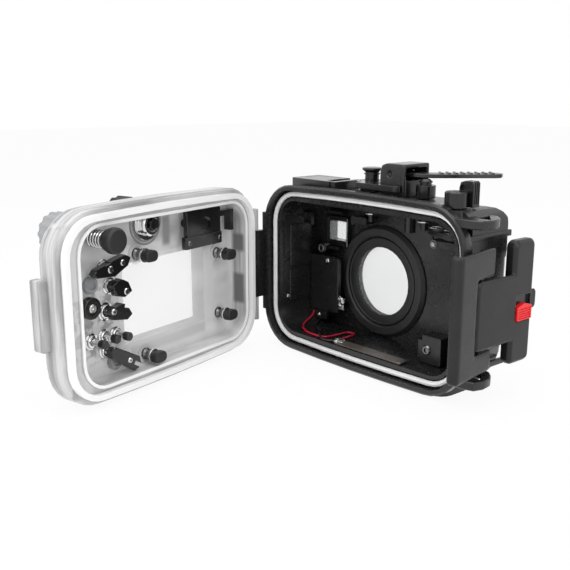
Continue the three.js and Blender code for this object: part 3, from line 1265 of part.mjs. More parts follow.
function makeForkArm() {
  const hub = doorPlace(fork.hubShare);
  const end = doorPlace(fork.endShare);
  const along = new THREE.Vector2(end[0] - hub[0], end[1] - hub[1]).normalize();
  const slot = new THREE.BoxGeometry(2 * fork.slotDeep, 2 * armThick, fork.slot);
  slot.rotateY(-Math.atan2(along.y, along.x));
  slot.translate(end[0] + along.x * fork.slotDeep / 2, armFront - armThick / 2,
    end[1] + along.y * fork.slotDeep / 2);
  const body = join(pushStem(hub[0], hub[1], armFront - rimChamfer),
    cut(armBar(hub, end, fork.wide, fork.wide + fork.prong), solid(slot)));
  return meshOf('fork_arm', body, finish('#19191b', 0.5));
}

function makePlungers() {
  const plungers = tipShares.map((share, index) => {
    const [x, z] = doorPlace(share);
    const head = rod(tip.radius, tipFront - tip.long, tipFront, 'y', [x, 0, z], rimChamfer / 2,
      smallTurnSteps);
    return meshOf(`button_plunger_${index + 1}`, join(pushStem(x, z, tipFront - rimChamfer), head),
      finish('#2a2a2c', 0.4));
  });
  const [x, z] = doorPlace([ring.xShare, ring.zShare]);
  const collar = rod(ring.outer, ringFront - ring.long, ringFront, 'y', [x, 0, z], rimChamfer / 2);
  const dish = rod(ring.inner, ringFront - rimChamfer, ringFront + overrun, 'y', [x, 0, z]);
  const face = doorWallFace + stem.travel / 3;
  const shaved = cut(collar, block([x - 2 * ring.outer, x + 2 * ring.outer], [doorBack, face],
    [z - 2 * ring.outer, z + 2 * ring.outer]));
  plungers.push(meshOf('ring_button', join(pushStem(x, z, ringFront - 2 * rimChamfer),
    cut(shaved, dish)), finish('#1b1b1d', 0.45)));
  return plungers;
}

// A group that turns its contents about a pivot while they stay written in the rim frame
function turnedGroup(parent, x, y, angle) {
  const outer = new THREE.Group();
  outer.position.set(x, y, 0);
  outer.rotation.z = angle;
  const inner = new THREE.Group();
  inner.position.set(-x, -y, 0);
  outer.add(inner);
  parent.add(outer);
  return inner;
}

const housing = new THREE.Group();
housing.name = 'underwater_camera_housing';
const rimFrame = new THREE.Group();
rimFrame.position.set(0, -footMiddle, centreUp);
housing.add(rimFrame);

rimFrame.add(makeMainBody(), makeMainSeal(), ...makePortPieces(), ...makeFinderPieces(),
  ...makeLeakPieces());
rimFrame.add(...makeChamberPieces(), makeShoe(), makeBridge(), makeShutterLever(),
  ...makeShutterPlunger());
rimFrame.add(...makeTopButton(), makePowerLever(), makeDial(), ...makeDialInside(), makeTripodInsert(),
  ...makePins());
rimFrame.add(makeLatchLever(), makeLockSlider(), makeHookPin());
turnedGroup(rimFrame, hookPin.x, hookPin.y, hookSwing).add(makeLatchHook());
const doorGroup = turnedGroup(rimFrame, hingeX, hingeY, -doorOpen);
doorGroup.add(makeDoorShell(), ...makeBumpers(), makeBracket(), ...makeThumbKnob(), ...makeControlKnob());
doorGroup.add(...makeOffsetArms(), makeForkArm(), ...makePlungers());

export default housing;
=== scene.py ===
"""Looks of the underwater camera housing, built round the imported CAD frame.

Shapes are written in millimetres in the rim frame: x to the photographer's right, y forward along the
lens, z up, from the centre of the rear opening. Door pieces are written as they lie when the door is closed.
"""

import json
from math import cos, pi, radians, sin

import bmesh
import bpy
from mathutils import Matrix, Vector, noise as solid_noise

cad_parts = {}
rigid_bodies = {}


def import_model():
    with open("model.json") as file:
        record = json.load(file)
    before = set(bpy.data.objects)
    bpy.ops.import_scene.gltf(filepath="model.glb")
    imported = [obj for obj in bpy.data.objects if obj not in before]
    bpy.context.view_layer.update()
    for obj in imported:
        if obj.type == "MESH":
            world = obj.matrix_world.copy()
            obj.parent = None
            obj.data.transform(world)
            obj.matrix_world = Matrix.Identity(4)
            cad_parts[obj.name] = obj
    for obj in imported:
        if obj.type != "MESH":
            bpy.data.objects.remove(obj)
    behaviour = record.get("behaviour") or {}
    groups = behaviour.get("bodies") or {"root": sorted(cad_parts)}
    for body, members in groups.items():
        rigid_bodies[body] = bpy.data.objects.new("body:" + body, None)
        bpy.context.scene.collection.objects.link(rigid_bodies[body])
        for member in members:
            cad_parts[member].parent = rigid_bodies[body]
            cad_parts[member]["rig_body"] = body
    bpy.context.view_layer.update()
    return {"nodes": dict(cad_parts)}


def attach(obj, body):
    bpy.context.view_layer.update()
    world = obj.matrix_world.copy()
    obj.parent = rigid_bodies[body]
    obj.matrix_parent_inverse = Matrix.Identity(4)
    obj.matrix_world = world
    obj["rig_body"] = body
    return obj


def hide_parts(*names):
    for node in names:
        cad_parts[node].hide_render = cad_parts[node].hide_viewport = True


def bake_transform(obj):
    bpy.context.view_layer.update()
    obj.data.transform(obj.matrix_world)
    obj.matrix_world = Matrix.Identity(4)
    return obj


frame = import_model()

MM = 0.001
FOOT_MIDDLE = 23.0      # the rim plane lies this far behind the middle of the foot
CENTRE_UP = 50.45       # the rim's centre above the floor
HINGE_X, HINGE_Y = -79.64, -4.93
DOOR_OPEN = radians(75.5)
DOOR_WALL = -10.5       # its inner face, as y
ARM_FRONT, ARM_BACK = -2.4, -6.8
TIP_BACK = -3.3
STEM_END = -21.5        # between the outside of its wall and the stems' outer caps
CEILING = 39.65
FRONT_WALL = 39.2
WALL_LEFT = -65.5
STRIP_TOP = -38.72      # just inside the sensor strip's top
WIRE_RADIUS = 0.6
SHARP = radians(30)
FLAT = radians(0.5)
EDGE_SEGMENTS = 2
CORNER_STEPS = 4
ROUTE_STEPS = 8
PLASTIC_IOR = 1.5


# Places

def case_place(x, y, z):
    return Vector((x * MM, (y - FOOT_MIDDLE) * MM, (z + CENTRE_UP) * MM))


def door_place(x, y, z):
    """A point of the closed door, moved to where it is with the door open as in the photo."""
    across, along = x - HINGE_X, y - HINGE_Y
    turned_x = HINGE_X + across * cos(DOOR_OPEN) + along * sin(DOOR_OPEN)
    turned_y = HINGE_Y - across * sin(DOOR_OPEN) + along * cos(DOOR_OPEN)
    return case_place(turned_x, turned_y, z)


def closed_depth(point):
    """The y, in millimetres, that a point of the open door has when the door is closed."""
    across = point[0] / MM - HINGE_X
    along = point[1] / MM + FOOT_MIDDLE - HINGE_Y
    return HINGE_Y + across * sin(DOOR_OPEN) + along * cos(DOOR_OPEN)


# Materials

def new_material(name):
    material = bpy.data.materials.new(name)
    material.use_nodes = True
    nodes = material.node_tree.nodes
    return material, nodes, material.node_tree.links, nodes["Principled BSDF"]


def noise(nodes, links, scale, detail=3.0, roughness=0.5):
    place = nodes.new("ShaderNodeTexCoord")
    texture = nodes.new("ShaderNodeTexNoise")
    texture.inputs["Scale"].default_value = scale
    texture.inputs["Detail"].default_value = detail
    texture.inputs["Roughness"].default_value = roughness
    links.new(place.outputs["Object"], texture.inputs["Vector"])
    return texture.outputs["Fac"]


def ramp(nodes, links, source, stops):
    node = nodes.new("ShaderNodeValToRGB")
    while len(node.color_ramp.elements) < len(stops):
        node.color_ramp.elements.new(0.5)
    for element, (place, colour) in zip(node.color_ramp.elements, stops):
        element.position = place
        element.color = (*colour, 1)
    links.new(source, node.inputs["Fac"])
    return node.outputs["Color"]


def drift(nodes, links, low, high, scale, detail, roughness=0.5):
    """Clouds over the surface, from one colour to the other."""
    return ramp(nodes, links, noise(nodes, links, scale, detail, roughness), [(0.3, low), (0.7, high)])


def grey(level):
    return (level, level, level)


def bump(nodes, links, height, distance, strength, shader):
    node = nodes.new("ShaderNodeBump")
    node.inputs["Distance"].default_value = distance
    node.inputs["Strength"].default_value = strength
    links.new(height, node.inputs["Height"])
    links.new(node.outputs["Normal"], shader.inputs["Normal"])


def moulded(name, dark, light, rough_low, rough_high, grain=2600.0, grain_strength=0.25, gloss=0.5):
    """Moulded plastic: slow colour drift, cloudy gloss and a fine grain."""
    material, nodes, links, shader = new_material(name)
    links.new(drift(nodes, links, dark, light, 45.0, 4.0), shader.inputs["Base Color"])
    rough = drift(nodes, links, grey(rough_low), grey(rough_high), 160.0, 5.0, 0.6)
    links.new(rough, shader.inputs["Roughness"])
    bump(nodes, links, noise(nodes, links, grain, 2.0), 0.00006, grain_strength, shader)
    shader.inputs["Specular IOR Level"].default_value = gloss
    return material


def metal(name, colour, rough_low, rough_high, scale=300.0):
    material, nodes, links, shader = new_material(name)
    shader.inputs["Metallic"].default_value = 1.0
    low = tuple(0.82 * part for part in colour)
    links.new(drift(nodes, links, low, colour, scale, 4.0), shader.inputs["Base Color"])
    rough = drift(nodes, links, grey(rough_low), grey(rough_high), 3.0 * scale, 3.0)
    links.new(rough, shader.inputs["Roughness"])
    return material


def clear(name, colour, alpha_face, alpha_edge, rough):
    """Clear moulded plastic: see-through where it faces the eye, denser at a glancing angle."""
    material, nodes, links, shader = new_material(name)
    low = tuple(0.9 * part for part in colour)
    links.new(drift(nodes, links, low, colour, 30.0, 3.0), shader.inputs["Base Color"])
    links.new(edge_on(nodes, links, alpha_face, alpha_edge, 0.35), shader.inputs["Alpha"])
    links.new(drift(nodes, links, grey(0.7 * rough), grey(rough), 90.0, 3.0), shader.inputs["Roughness"])
    shader.inputs["IOR"].default_value = PLASTIC_IOR
    bump(nodes, links, noise(nodes, links, 120.0, 2.0), 0.0002, 0.12, shader)
    return material


def edge_on(nodes, links, face, edge, blend):
    """One level where the surface faces the eye, going to another where it is seen edge on."""
    weight = nodes.new("ShaderNodeLayerWeight")
    weight.inputs["Blend"].default_value = blend
    return ramp(nodes, links, weight.outputs["Facing"], [(0.0, grey(face)), (1.0, grey(edge))])


def closed_coordinates(nodes, links):
    """The closed door's x, y and z as three values, in metres."""
    place = nodes.new("ShaderNodeTexCoord")
    turn = nodes.new("ShaderNodeMapping")
    hinge = case_place(HINGE_X, HINGE_Y, 0)
    closed_hinge = Vector((HINGE_X * MM, HINGE_Y * MM, 0))
    turn.inputs["Rotation"].default_value = (0, 0, DOOR_OPEN)
    turn.inputs["Location"].default_value = closed_hinge - Matrix.Rotation(DOOR_OPEN, 3, "Z") @ hinge
    links.new(place.outputs["Object"], turn.inputs["Vector"])
    split = nodes.new("ShaderNodeSeparateXYZ")
    links.new(turn.outputs["Vector"], split.inputs["Vector"])
    return turn.outputs["Vector"], [split.outputs[axis] for axis in "XYZ"]


def step_up(nodes, links, value, place, soft, falling=False):
    """0 to 1 as the value passes the place, in millimetres, or 1 to 0 where falling."""
    node = nodes.new("ShaderNodeMapRange")
    node.interpolation_type = "SMOOTHSTEP"
    node.inputs["From Min"].default_value = (place - soft) * MM
    node.inputs["From Max"].default_value = (place + soft) * MM
    node.inputs["To Min"].default_value = 1.0 if falling else 0.0
    node.inputs["To Max"].default_value = 0.0 if falling else 1.0
    links.new(value, node.inputs["Value"])
    return node.outputs["Result"]


def times(nodes, links, first, second):
    node = nodes.new("ShaderNodeMath")
    node.operation = "MULTIPLY"
    links.new(first, node.inputs[0])
    if hasattr(second, "links"):
        links.new(second, node.inputs[1])
    else:
        node.inputs[1].default_value = second
    return node.outputs["Value"]


def room_mask(nodes, links, coordinates, room, soft):
    """1 inside a room ((low, high) for x, y and z, None where it has no side), fading over its soft edge."""
    mask = None
    for value, ends in zip(coordinates, room):
        for place, falling in ((ends[0], False), (ends[1], True)):
            if place is None:
                continue
            side = step_up(nodes, links, value, place, soft, falling)
            mask = side if mask is None else times(nodes, links, mask, side)
    return mask


def blend_colour(nodes, links, mask, under, over):
    node = nodes.new("ShaderNodeMix")
    node.data_type = "RGBA"
    links.new(mask, node.inputs[0])
    links.new(under, node.inputs[6])
    if hasattr(over, "links"):
        links.new(over, node.inputs[7])
    else:
        node.inputs[7].default_value = (*over, 1)
    return node.outputs[2]


def streaks(nodes, links, vector, stretch, stops, seed):
    """Long soft streaks, as light makes them in thick clear plastic."""
    shape = nodes.new("ShaderNodeMapping")
    shape.inputs["Scale"].default_value = stretch
    shape.inputs["Location"].default_value = (seed, 0.0, 0.0)
    links.new(vector, shape.inputs["Vector"])
    texture = nodes.new("ShaderNodeTexNoise")
    texture.inputs["Scale"].default_value = 1.0
    texture.inputs["Detail"].default_value = 3.0
    links.new(shape.outputs["Vector"], texture.inputs["Vector"])
    return ramp(nodes, links, texture.outputs["Fac"], stops)


# Rooms of the closed door, (low, high) in x, y and z: where its plastic looks different
OPEN = (None, None)
WINDOW_ROOM = ((-39.4, 24.0), (None, -9.8), (-27.3, 15.8))
FINDER_ROOM = ((-47.0, -34.0), (None, -9.8), (23.0, 35.0))
FLANGE_ROOM = (OPEN, (None, -0.15), OPEN)
# The ridge's room, where the ridge is painted near white as a painted highlight
RIDGE_HIGHLIGHT_ROOM = (OPEN, (0.35, None), OPEN)
STEM_IMAGES = ((29.0, 66.0), (-12.0, -1.0), (-31.0, 9.0))
END_WALLS = (((55.0, None), OPEN, OPEN), ((None, -62.0), OPEN, OPEN))
TRAY_HALF_WIDE, TRAY_HALF_HIGH = 68.5, 42.6
# Mirror images and shadows in its walls: (room, level, soft edge)
DOOR_SHADES = [
    (((None, -64.0), (-9.0, -1.0), (9.5, 20.0)), 0.16, 1.6),
    (((None, -64.0), (-9.0, -1.0), (-22.0, -4.0)), 0.14, 1.6),
    (((-12.5, -6.5), (-12.0, -9.0), (21.0, 37.0)), 0.2, 1.8),
    (((-48.0, -39.6), (-12.0, -9.0), (-28.0, 14.0)), 0.72, 1.2),
    (((47.0, 64.0), (-12.0, -9.0), (-10.0, 22.0)), 0.5, 3.0),
    (((-40.0, 20.0), (-12.0, -9.5), (-34.5, -29.0)), 0.56, 1.6),
    (((20.0, 64.0), (-12.0, -9.5), (24.0, 39.0)), 0.6, 3.0),
]


def door_plastic():
    """The clear door: a painted highlight on its ridge, grey flange, bright window, and the dark mirror images in
    its walls.
    """
    material, nodes, links, shader = new_material("door_clear")
    vector, coordinates = closed_coordinates(nodes, links)

    def room(shape, soft):
        return room_mask(nodes, links, coordinates, shape, soft)

    def streaked(stretch, stops, seed):
        return streaks(nodes, links, vector, stretch, [(place, grey(level)) for place, level in stops], seed)

    def over(mask, under, top):
        return blend_colour(nodes, links, mask, under, top)

    colour = streaked((14.0, 60.0, 46.0), [(0.32, 0.42), (0.45, 0.66), (0.64, 0.86)], 0.0)
    upright = streaked((90.0, 220.0, 8.0), [(0.35, 0.36), (0.6, 0.74)], 3.0)
    for wall in END_WALLS:
        colour = over(room(wall, 3.0), colour, upright)
    mirrored = streaked((260.0, 160.0, 240.0), [(0.42, 0.12), (0.55, 0.8)], 7.0)
    colour = over(times(nodes, links, room(STEM_IMAGES, 4.0), 0.7), colour, mirrored)
    for shape, level, soft in DOOR_SHADES:
        colour = over(room(shape, soft), colour, grey(level))
    window, ridge_highlight = room(WINDOW_ROOM, 0.35), room(RIDGE_HIGHLIGHT_ROOM, 0.2)
    outside = outer_mask(nodes, links, coordinates, TRAY_HALF_WIDE, TRAY_HALF_HIGH)
    flange = times(nodes, links, room(FLANGE_ROOM, 0.12), outside)
    colour = over(window, colour, grey(0.85))
    colour = over(flange, colour, streaked((20.0, 380.0, 20.0), [(0.35, 0.3), (0.62, 0.62)], 5.0))
    # The ridge gets a near-white colour: a painted highlight
    links.new(over(ridge_highlight, colour, grey(0.93)), shader.inputs["Base Color"])

    alpha = edge_on(nodes, links, 0.74, 0.95, 0.4)
    for mask, level in ((flange, 0.94), (window, 0.16), (room(FINDER_ROOM, 0.5), 0.1), (ridge_highlight, 0.97)):
        alpha = over(mask, alpha, grey(level))
    links.new(alpha, shader.inputs["Alpha"])

    rough = drift(nodes, links, grey(0.14), grey(0.24), 90.0, 3.0)
    links.new(over(window, rough, grey(0.06)), shader.inputs["Roughness"])
    shader.inputs["IOR"].default_value = PLASTIC_IOR
    bump(nodes, links, noise(nodes, links, 120.0, 2.0), 0.0002, 0.1, shader)
    return material


def outer_mask(nodes, links, coordinates, half_wide, half_high):
    """1 outside a rectangle round the door's middle, in x or in z."""
    inner = room_mask(nodes, links, coordinates, ((-half_wide, half_wide), OPEN, (-half_high, half_high)), 0.8)
    node = nodes.new("ShaderNodeMath")
    node.operation = "SUBTRACT"
    node.inputs[0].default_value = 1.0
    links.new(inner, node.inputs[1])
    return node.outputs["Value"]


HOUSING = moulded("housing_black", grey(0.01), grey(0.016), 0.2, 0.32)
SATIN = moulded("housing_satin", grey(0.01), grey(0.016), 0.14, 0.22)
INSIDE = moulded("cover_black", grey(0.008), grey(0.014), 0.24, 0.36)
LATCH = moulded("latch_grey", grey(0.012), grey(0.019), 0.26, 0.36, gloss=0.3)
PORT = moulded("port_black", grey(0.014), grey(0.02), 0.42, 0.52)
GLOSSY = moulded("control_black", grey(0.008), grey(0.012), 0.1, 0.18, 2600.0, 0.1)
RUBBER = moulded("rubber_black", grey(0.009), grey(0.014), 0.5, 0.62, 1800.0, 0.4)
SEAL = moulded("seal_white", grey(0.8), grey(0.88), 0.35, 0.45, 1200.0, 0.15)
RED = moulded("slider_red", (0.72, 0.008, 0.012), (0.86, 0.015, 0.02), 0.28, 0.38)
WIRE_RED = moulded("wire_red", (0.42, 0.006, 0.03), (0.58, 0.012, 0.05), 0.25, 0.35, 900.0, 0.1)
WIRE_BLACK = moulded("wire_black", grey(0.008), grey(0.014), 0.25, 0.35, 900.0, 0.1)
SENSOR = moulded("sensor_brown", (0.07, 0.055, 0.045), (0.12, 0.1, 0.085), 0.3, 0.5, 700.0, 0.3)
CHROME = metal("chrome_ring", (0.82, 0.82, 0.82), 0.04, 0.1)
STEEL = metal("bright_steel", (0.7, 0.7, 0.69), 0.14, 0.26)
DARK_STEEL = metal("satin_steel", (0.2, 0.2, 0.21), 0.08, 0.16)
DOOR = door_plastic()
KNOB_CLEAR = clear("knob_clear", (0.34, 0.35, 0.36), 0.5, 0.98, 0.12)
WINDOW = clear("window_clear", (0.8, 0.82, 0.83), 0.12, 0.55, 0.05)
# Dark clear plastic for the painted shadow rings round the knob's pocket
PAINTED_SHADE_CLEAR = clear("door_clear_painted_shade", (0.3, 0.3, 0.31), 0.7, 0.95, 0.2)


# Meshes

def shade(mesh):
    mesh.polygons.foreach_set("use_smooth", [True] * len(mesh.polygons))
    mesh.set_sharp_from_angle(angle=SHARP)


def make_object(name, points, faces, material, body, soft_edge=0.0):
    mesh = bpy.data.meshes.new(name)
    mesh.from_pydata(points, [], faces)
    mesh.validate()
    tidy = bmesh.new()
    tidy.from_mesh(mesh)
    bmesh.ops.recalc_face_normals(tidy, faces=tidy.faces)
    tidy.to_mesh(mesh)
    tidy.free()
    shade(mesh)
    mesh.materials.append(material)
    piece = bpy.data.objects.new(name, mesh)
    bpy.context.scene.collection.objects.link(piece)
    if soft_edge > 0:
        soften(piece, soft_edge)
    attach(piece, body)
    return piece


def soften(piece, width):
    edge = piece.modifiers.new("soft_edges", "BEVEL")
    edge.width = width * MM
    edge.segments = EDGE_SEGMENTS
    edge.limit_method = "ANGLE"
    edge.angle_limit = SHARP
    edge.use_clamp_overlap = True
    edge.harden_normals = True


def dress(node, material, width):
    """Stands in for a CAD node with the same shape and softly rounded edges."""
    source = frame["nodes"][node]
    shape = bmesh.new()
    shape.from_mesh(source.data)
    bmesh.ops.remove_doubles(shape, verts=shape.verts, dist=0.002 * MM)
    bmesh.ops.dissolve_limit(shape, angle_limit=FLAT, verts=shape.verts, edges=shape.edges)
    shape.verts.index_update()
    points = [vertex.co.copy() for vertex in shape.verts]
    faces = [[vertex.index for vertex in face.verts] for face in shape.faces]
    shape.free()
    piece = make_object(node + "_dressed", points, faces, material, source["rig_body"], width)
    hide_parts(node)
    return piece


def dress_soft(node, material, voxel, smooth):
    """Stands in for a CAD node with every edge melted round, as a moulded piece of some thickness has them."""
    piece = dress(node, material, 0)
    cells = piece.modifiers.new("cells", "REMESH")
    cells.mode = "VOXEL"
    cells.voxel_size = voxel * MM
    cells.use_smooth_shade = True
    melt = piece.modifiers.new("melt", "SMOOTH")
    melt.factor = 0.5
    melt.iterations = smooth
    return piece


def paint(node, material):
    """Keeps a CAD node as it is and gives it a better material."""
    piece = frame["nodes"][node]
    piece.data.materials.clear()
    piece.data.materials.append(material)


def revolve(name, profile, centre, axis, put, material, body, steps=48, soft_edge=0.0):
    """A closed profile of (radius, distance) pairs turned about a line along the axis."""
    points = []
    for step in range(steps):
        angle = 2 * pi * step / steps
        for radius, along in profile:
            side, up = radius * cos(angle), radius * sin(angle)
            offset = {"x": (along, side, up), "y": (side, along, up), "z": (side, up, along)}[axis]
            points.append(put(*(centre[part] + offset[part] for part in range(3))))
    count = len(profile)
    faces = []
    for step in range(steps):
        for index in range(count):
            after = (index + 1) % count
            if profile[index][0] == 0 and profile[after][0] == 0:
                continue    # a line on the axis sweeps no face
            here, there = step * count, (step + 1) % steps * count
            faces.append([here + index, here + after, there + after, there + index])
    piece = make_object(name, points, faces, material, body)
    weld = bmesh.new()
    weld.from_mesh(piece.data)
    bmesh.ops.remove_doubles(weld, verts=weld.verts, dist=0.001 * MM)
    bmesh.ops.recalc_face_normals(weld, faces=weld.faces)
    weld.to_mesh(piece.data)
    weld.free()
    shade(piece.data)
    if soft_edge > 0:
        soften(piece, soft_edge)
    return piece


def prism(name, outline, axis, low, high, put, material, body, soft_edge=0.0):
    """A flat outline run along x, y or z; the outline gives the other two coordinates in order."""
    points = []
    for along in (low, high):
        for first, second in outline:
            place = {"x": (along, first, second), "y": (first, along, second), "z": (first, second, along)}[axis]
            points.append(put(*place))
    count = len(outline)
    faces = [list(range(count))[::-1], list(range(count, 2 * count))]
    for index in range(count):
        after = (index + 1) % count
        faces.append([index, after, count + after, count + index])
    return make_object(name, points, faces, material, body, soft_edge)


def rounded(low_a, high_a, low_b, high_b, radius):
    """The outline of a rectangle with round corners."""
    outline = []
    corners = ((high_a, high_b, 0), (low_a, high_b, 1), (low_a, low_b, 2), (high_a, low_b, 3))
    for a, b, quarter in corners:
        middle_a = a - radius if a == high_a else a + radius
        middle_b = b - radius if b == high_b else b + radius
        for step in range(CORNER_STEPS + 1):
            angle = pi / 2 * (quarter + step / CORNER_STEPS)
            outline.append((middle_a + radius * cos(angle), middle_b + radius * sin(angle)))
    return outline


def screw(name, centre, axis, put, radius, low, high, material, body, socket=0.45):
    """A round screw head with a socket, standing from low to high along the axis."""
    toward = 1 if high > low else -1
    dome = 0.25 * radius * toward
    profile = [(0, low), (radius, low), (radius, high - dome), (0.78 * radius, high),
               (socket * radius, high), (0.9 * socket * radius, high - 1.6 * dome), (0, high - 2.0 * dome)]
    return revolve(name, profile, centre, axis, put, material, body, 24)


def washer(name, centre, axis, put, inner, outer, low, high, material, body, steps=40, soft_edge=0.12):
    profile = [(inner, low), (outer, low), (outer, high), (inner, high)]
    return revolve(name, profile, centre, axis, put, material, body, steps, soft_edge)


def gland(name, x, z, radius, height):
    """A stepped ring round a stem where it passes the door's wall."""
    bore, foot, top = 2.0, DOOR_WALL, DOOR_WALL + height
    profile = [(bore, foot), (radius, foot), (radius, foot + 0.45 * height), (0.8 * radius, foot + 0.55 * height),
               (0.76 * radius, foot + 0.9 * height), (0.66 * radius, top), (bore, top)]
    return revolve(name, profile, (x, 0, z), "y", door_place, CHROME, "door", 40, 0.1)


def lump(name, centre, size, seed):
    """A blob of solder: a ball pushed out of round."""
    shape = bmesh.new()
    bmesh.ops.create_icosphere(shape, subdivisions=3, radius=1.0)
    points = []
    for vertex in shape.verts:
        push = 1 + 0.35 * solid_noise.noise(vertex.co * 2.1 + Vector((seed, 0, 0)))
        points.append(case_place(*(centre[axis] + size[axis] * push * vertex.co[axis] for axis in range(3))))
    shape.verts.index_update()
    faces = [[vertex.index for vertex in face.verts] for face in shape.faces]
    shape.free()
    return make_object(name, points, faces, STEEL, "housing")


def smooth_route(points):
    """Points on one smooth curve through the given ones (centripetal), and the ends themselves."""
    ends = [2 * points[0] - points[1], *points, 2 * points[-1] - points[-2]]
    route = []
    for index in range(1, len(ends) - 2):
        p0, p1, p2, p3 = ends[index - 1:index + 3]
        t0 = 0.0
        t1 = (p1 - p0).length ** 0.5
        t2 = t1 + (p2 - p1).length ** 0.5
        t3 = t2 + (p3 - p2).length ** 0.5
        for step in range(ROUTE_STEPS):
            t = t1 + (t2 - t1) * step / ROUTE_STEPS
            a1 = (t1 - t) / (t1 - t0) * p0 + (t - t0) / (t1 - t0) * p1
            a2 = (t2 - t) / (t2 - t1) * p1 + (t - t1) / (t2 - t1) * p2
            a3 = (t3 - t) / (t3 - t2) * p2 + (t - t2) / (t3 - t2) * p3
            b1 = (t2 - t) / (t2 - t0) * a1 + (t - t0) / (t2 - t0) * a2
            b2 = (t3 - t) / (t3 - t1) * a2 + (t - t1) / (t3 - t1) * a3
            route.append((t2 - t) / (t2 - t1) * b1 + (t - t1) / (t2 - t1) * b2)
    route.append(points[-1])
    return route


def wire(name, node, route, material):
    """One of the leak alarm's wires, as a cord on the route that part.mjs gives it."""
    line = smooth_route([case_place(*point) for point in route])
    data = bpy.data.curves.new(name, "CURVE")
    data.dimensions = "3D"
    data.bevel_depth = WIRE_RADIUS * MM
    data.bevel_resolution = 4
    data.use_fill_caps = True
    spline = data.splines.new("POLY")
    spline.points.add(len(line) - 1)
    for place, point in zip(spline.points, line):
        place.co = (*point, 1)
    spline.use_smooth = True
    piece = bpy.data.objects.new(name, data)
    data.materials.append(material)
    bpy.context.scene.collection.objects.link(piece)
    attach(piece, "housing")
    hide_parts(node)


def bright_stem(piece, front):
    """Makes a push button's stem chrome, from its outer cap to just behind its inner head."""
    piece.data.materials.append(CHROME)
    for face in piece.data.polygons:
        if STEM_END < closed_depth(face.center) < front - 0.1:
            face.material_index = 1


# Stage, light and camera

FLOOR_GLOW = 0.93
WORLD_LIGHT = 0.7


def any_ray(nodes, links, kinds):
    """1 for a ray of any of these kinds."""
    path = nodes.new("ShaderNodeLightPath")
    seen = path.outputs[kinds[0]]
    for kind in kinds[1:]:
        either = nodes.new("ShaderNodeMath")
        either.operation = "MAXIMUM"
        links.new(seen, either.inputs[0])
        links.new(path.outputs[kind], either.inputs[1])
        seen = either.outputs["Value"]
    return seen


def mix_shaders(nodes, links, share, first, second, surface):
    mix = nodes.new("ShaderNodeMixShader")
    links.new(share, mix.inputs["Fac"])
    links.new(first, mix.inputs[1])
    links.new(second, mix.inputs[2])
    links.new(mix.outputs["Shader"], surface)


def build_stage():
    """A pale floor that glows for the eye, so that it ends up white and still keeps a little of the shadow."""
    bpy.ops.mesh.primitive_plane_add(size=6.0, location=(0, 0, 0))
    floor = bpy.context.object
    floor.name = "floor"
    material, nodes, links, shader = new_material("floor_white")
    shader.inputs["Base Color"].default_value = (0.9, 0.9, 0.9, 1)
    shader.inputs["Roughness"].default_value = 0.9
    shader.inputs["Specular IOR Level"].default_value = 0.0
    glow = nodes.new("ShaderNodeEmission")
    glow.inputs["Strength"].default_value = 1.0
    share = times(nodes, links, any_ray(nodes, links, ("Is Camera Ray", "Is Glossy Ray")), FLOOR_GLOW)
    mix_shaders(nodes, links, share, shader.outputs["BSDF"], glow.outputs["Emission"],
                nodes["Material Output"].inputs["Surface"])
    floor.data.materials.append(material)


def build_world():
    """White behind the object and in its clear parts, and a dimmer white that lights it."""
    world = bpy.data.worlds.new("studio")
    bpy.context.scene.world = world
    world.use_nodes = True
    nodes, links = world.node_tree.nodes, world.node_tree.links
    dim = nodes["Background"]
    white = nodes.new("ShaderNodeBackground")
    for background, strength in ((dim, WORLD_LIGHT), (white, 1.0)):
        background.inputs["Color"].default_value = (1, 1, 1, 1)
        background.inputs["Strength"].default_value = strength
    seen = any_ray(nodes, links, ("Is Camera Ray", "Is Glossy Ray", "Is Transmission Ray"))
    mix_shaders(nodes, links, seen, dim.outputs["Background"], white.outputs["Background"],
                nodes["World Output"].inputs["Surface"])


def area_light(name, place, target, size, power):
    """A softbox in metres and watts."""
    data = bpy.data.lights.new(name, "AREA")
    data.shape = "RECTANGLE"
    data.size, data.size_y = size
    data.energy = power
    lamp = bpy.data.objects.new(name, data)
    lamp.location = place
    lamp.rotation_euler = (Vector(target) - Vector(place)).to_track_quat("-Z", "Y").to_euler()
    bpy.context.scene.collection.objects.link(lamp)


def build_lights():
    area_light("top_softbox", (0.1, -0.1, 0.75), (0, 0, 0.05), (0.7, 0.7), 3.0)
    area_light("right_softbox", (0.75, -0.1, 0.35), (0.05, 0, 0.05), (0.35, 0.6), 1.5)
    area_light("rear_softbox", (-0.1, -0.8, 0.4), (0, 0, 0.05), (0.5, 0.5), 1.9)


def build_camera():
    azimuth, elevation = radians(49.43), radians(13.26)
    data = bpy.data.cameras.new("photo_camera")
    data.lens = 51.82
    data.sensor_width = 36.0
    camera = bpy.data.objects.new("photo_camera", data)
    camera.location = (0.30659, -0.33283, 0.15220)
    forward = Vector((-sin(azimuth) * cos(elevation), cos(azimuth) * cos(elevation), -sin(elevation)))
    camera.rotation_euler = forward.to_track_quat("-Z", "Y").to_euler()
    bpy.context.scene.collection.objects.link(camera)
    bpy.context.scene.camera = camera


# The wires inside the case

RED_ROUTE = [(-62.4, 31, -31.8), (-61, 28, -34.6), (-56, 16, -37.7), (-49, 10, -38.5), (-38, 7.4, -38.6),
             (-29.8, 8.9, -38.6), (-28, 17, -38.6), (-27.4, 25.2, -38.6), (-22.8, 26.4, -38.6),
             (-20.4, 19, -38.5), (-19.6, 13.9, -38.3)]
BLACK_ROUTE = [(-58, 34, -31.8), (-57.4, 32, -36), (-53.4, 24, -38.5), (-44, 16.4, -38.4),
               (-37.4, 13, -37.9), (-33.6, 8.4, -37), (-29, 5, -37.9), (-24, 5.2, -38.4), (-19.4, 7.6, -38.3)]


# Carried-over pieces with their finishes

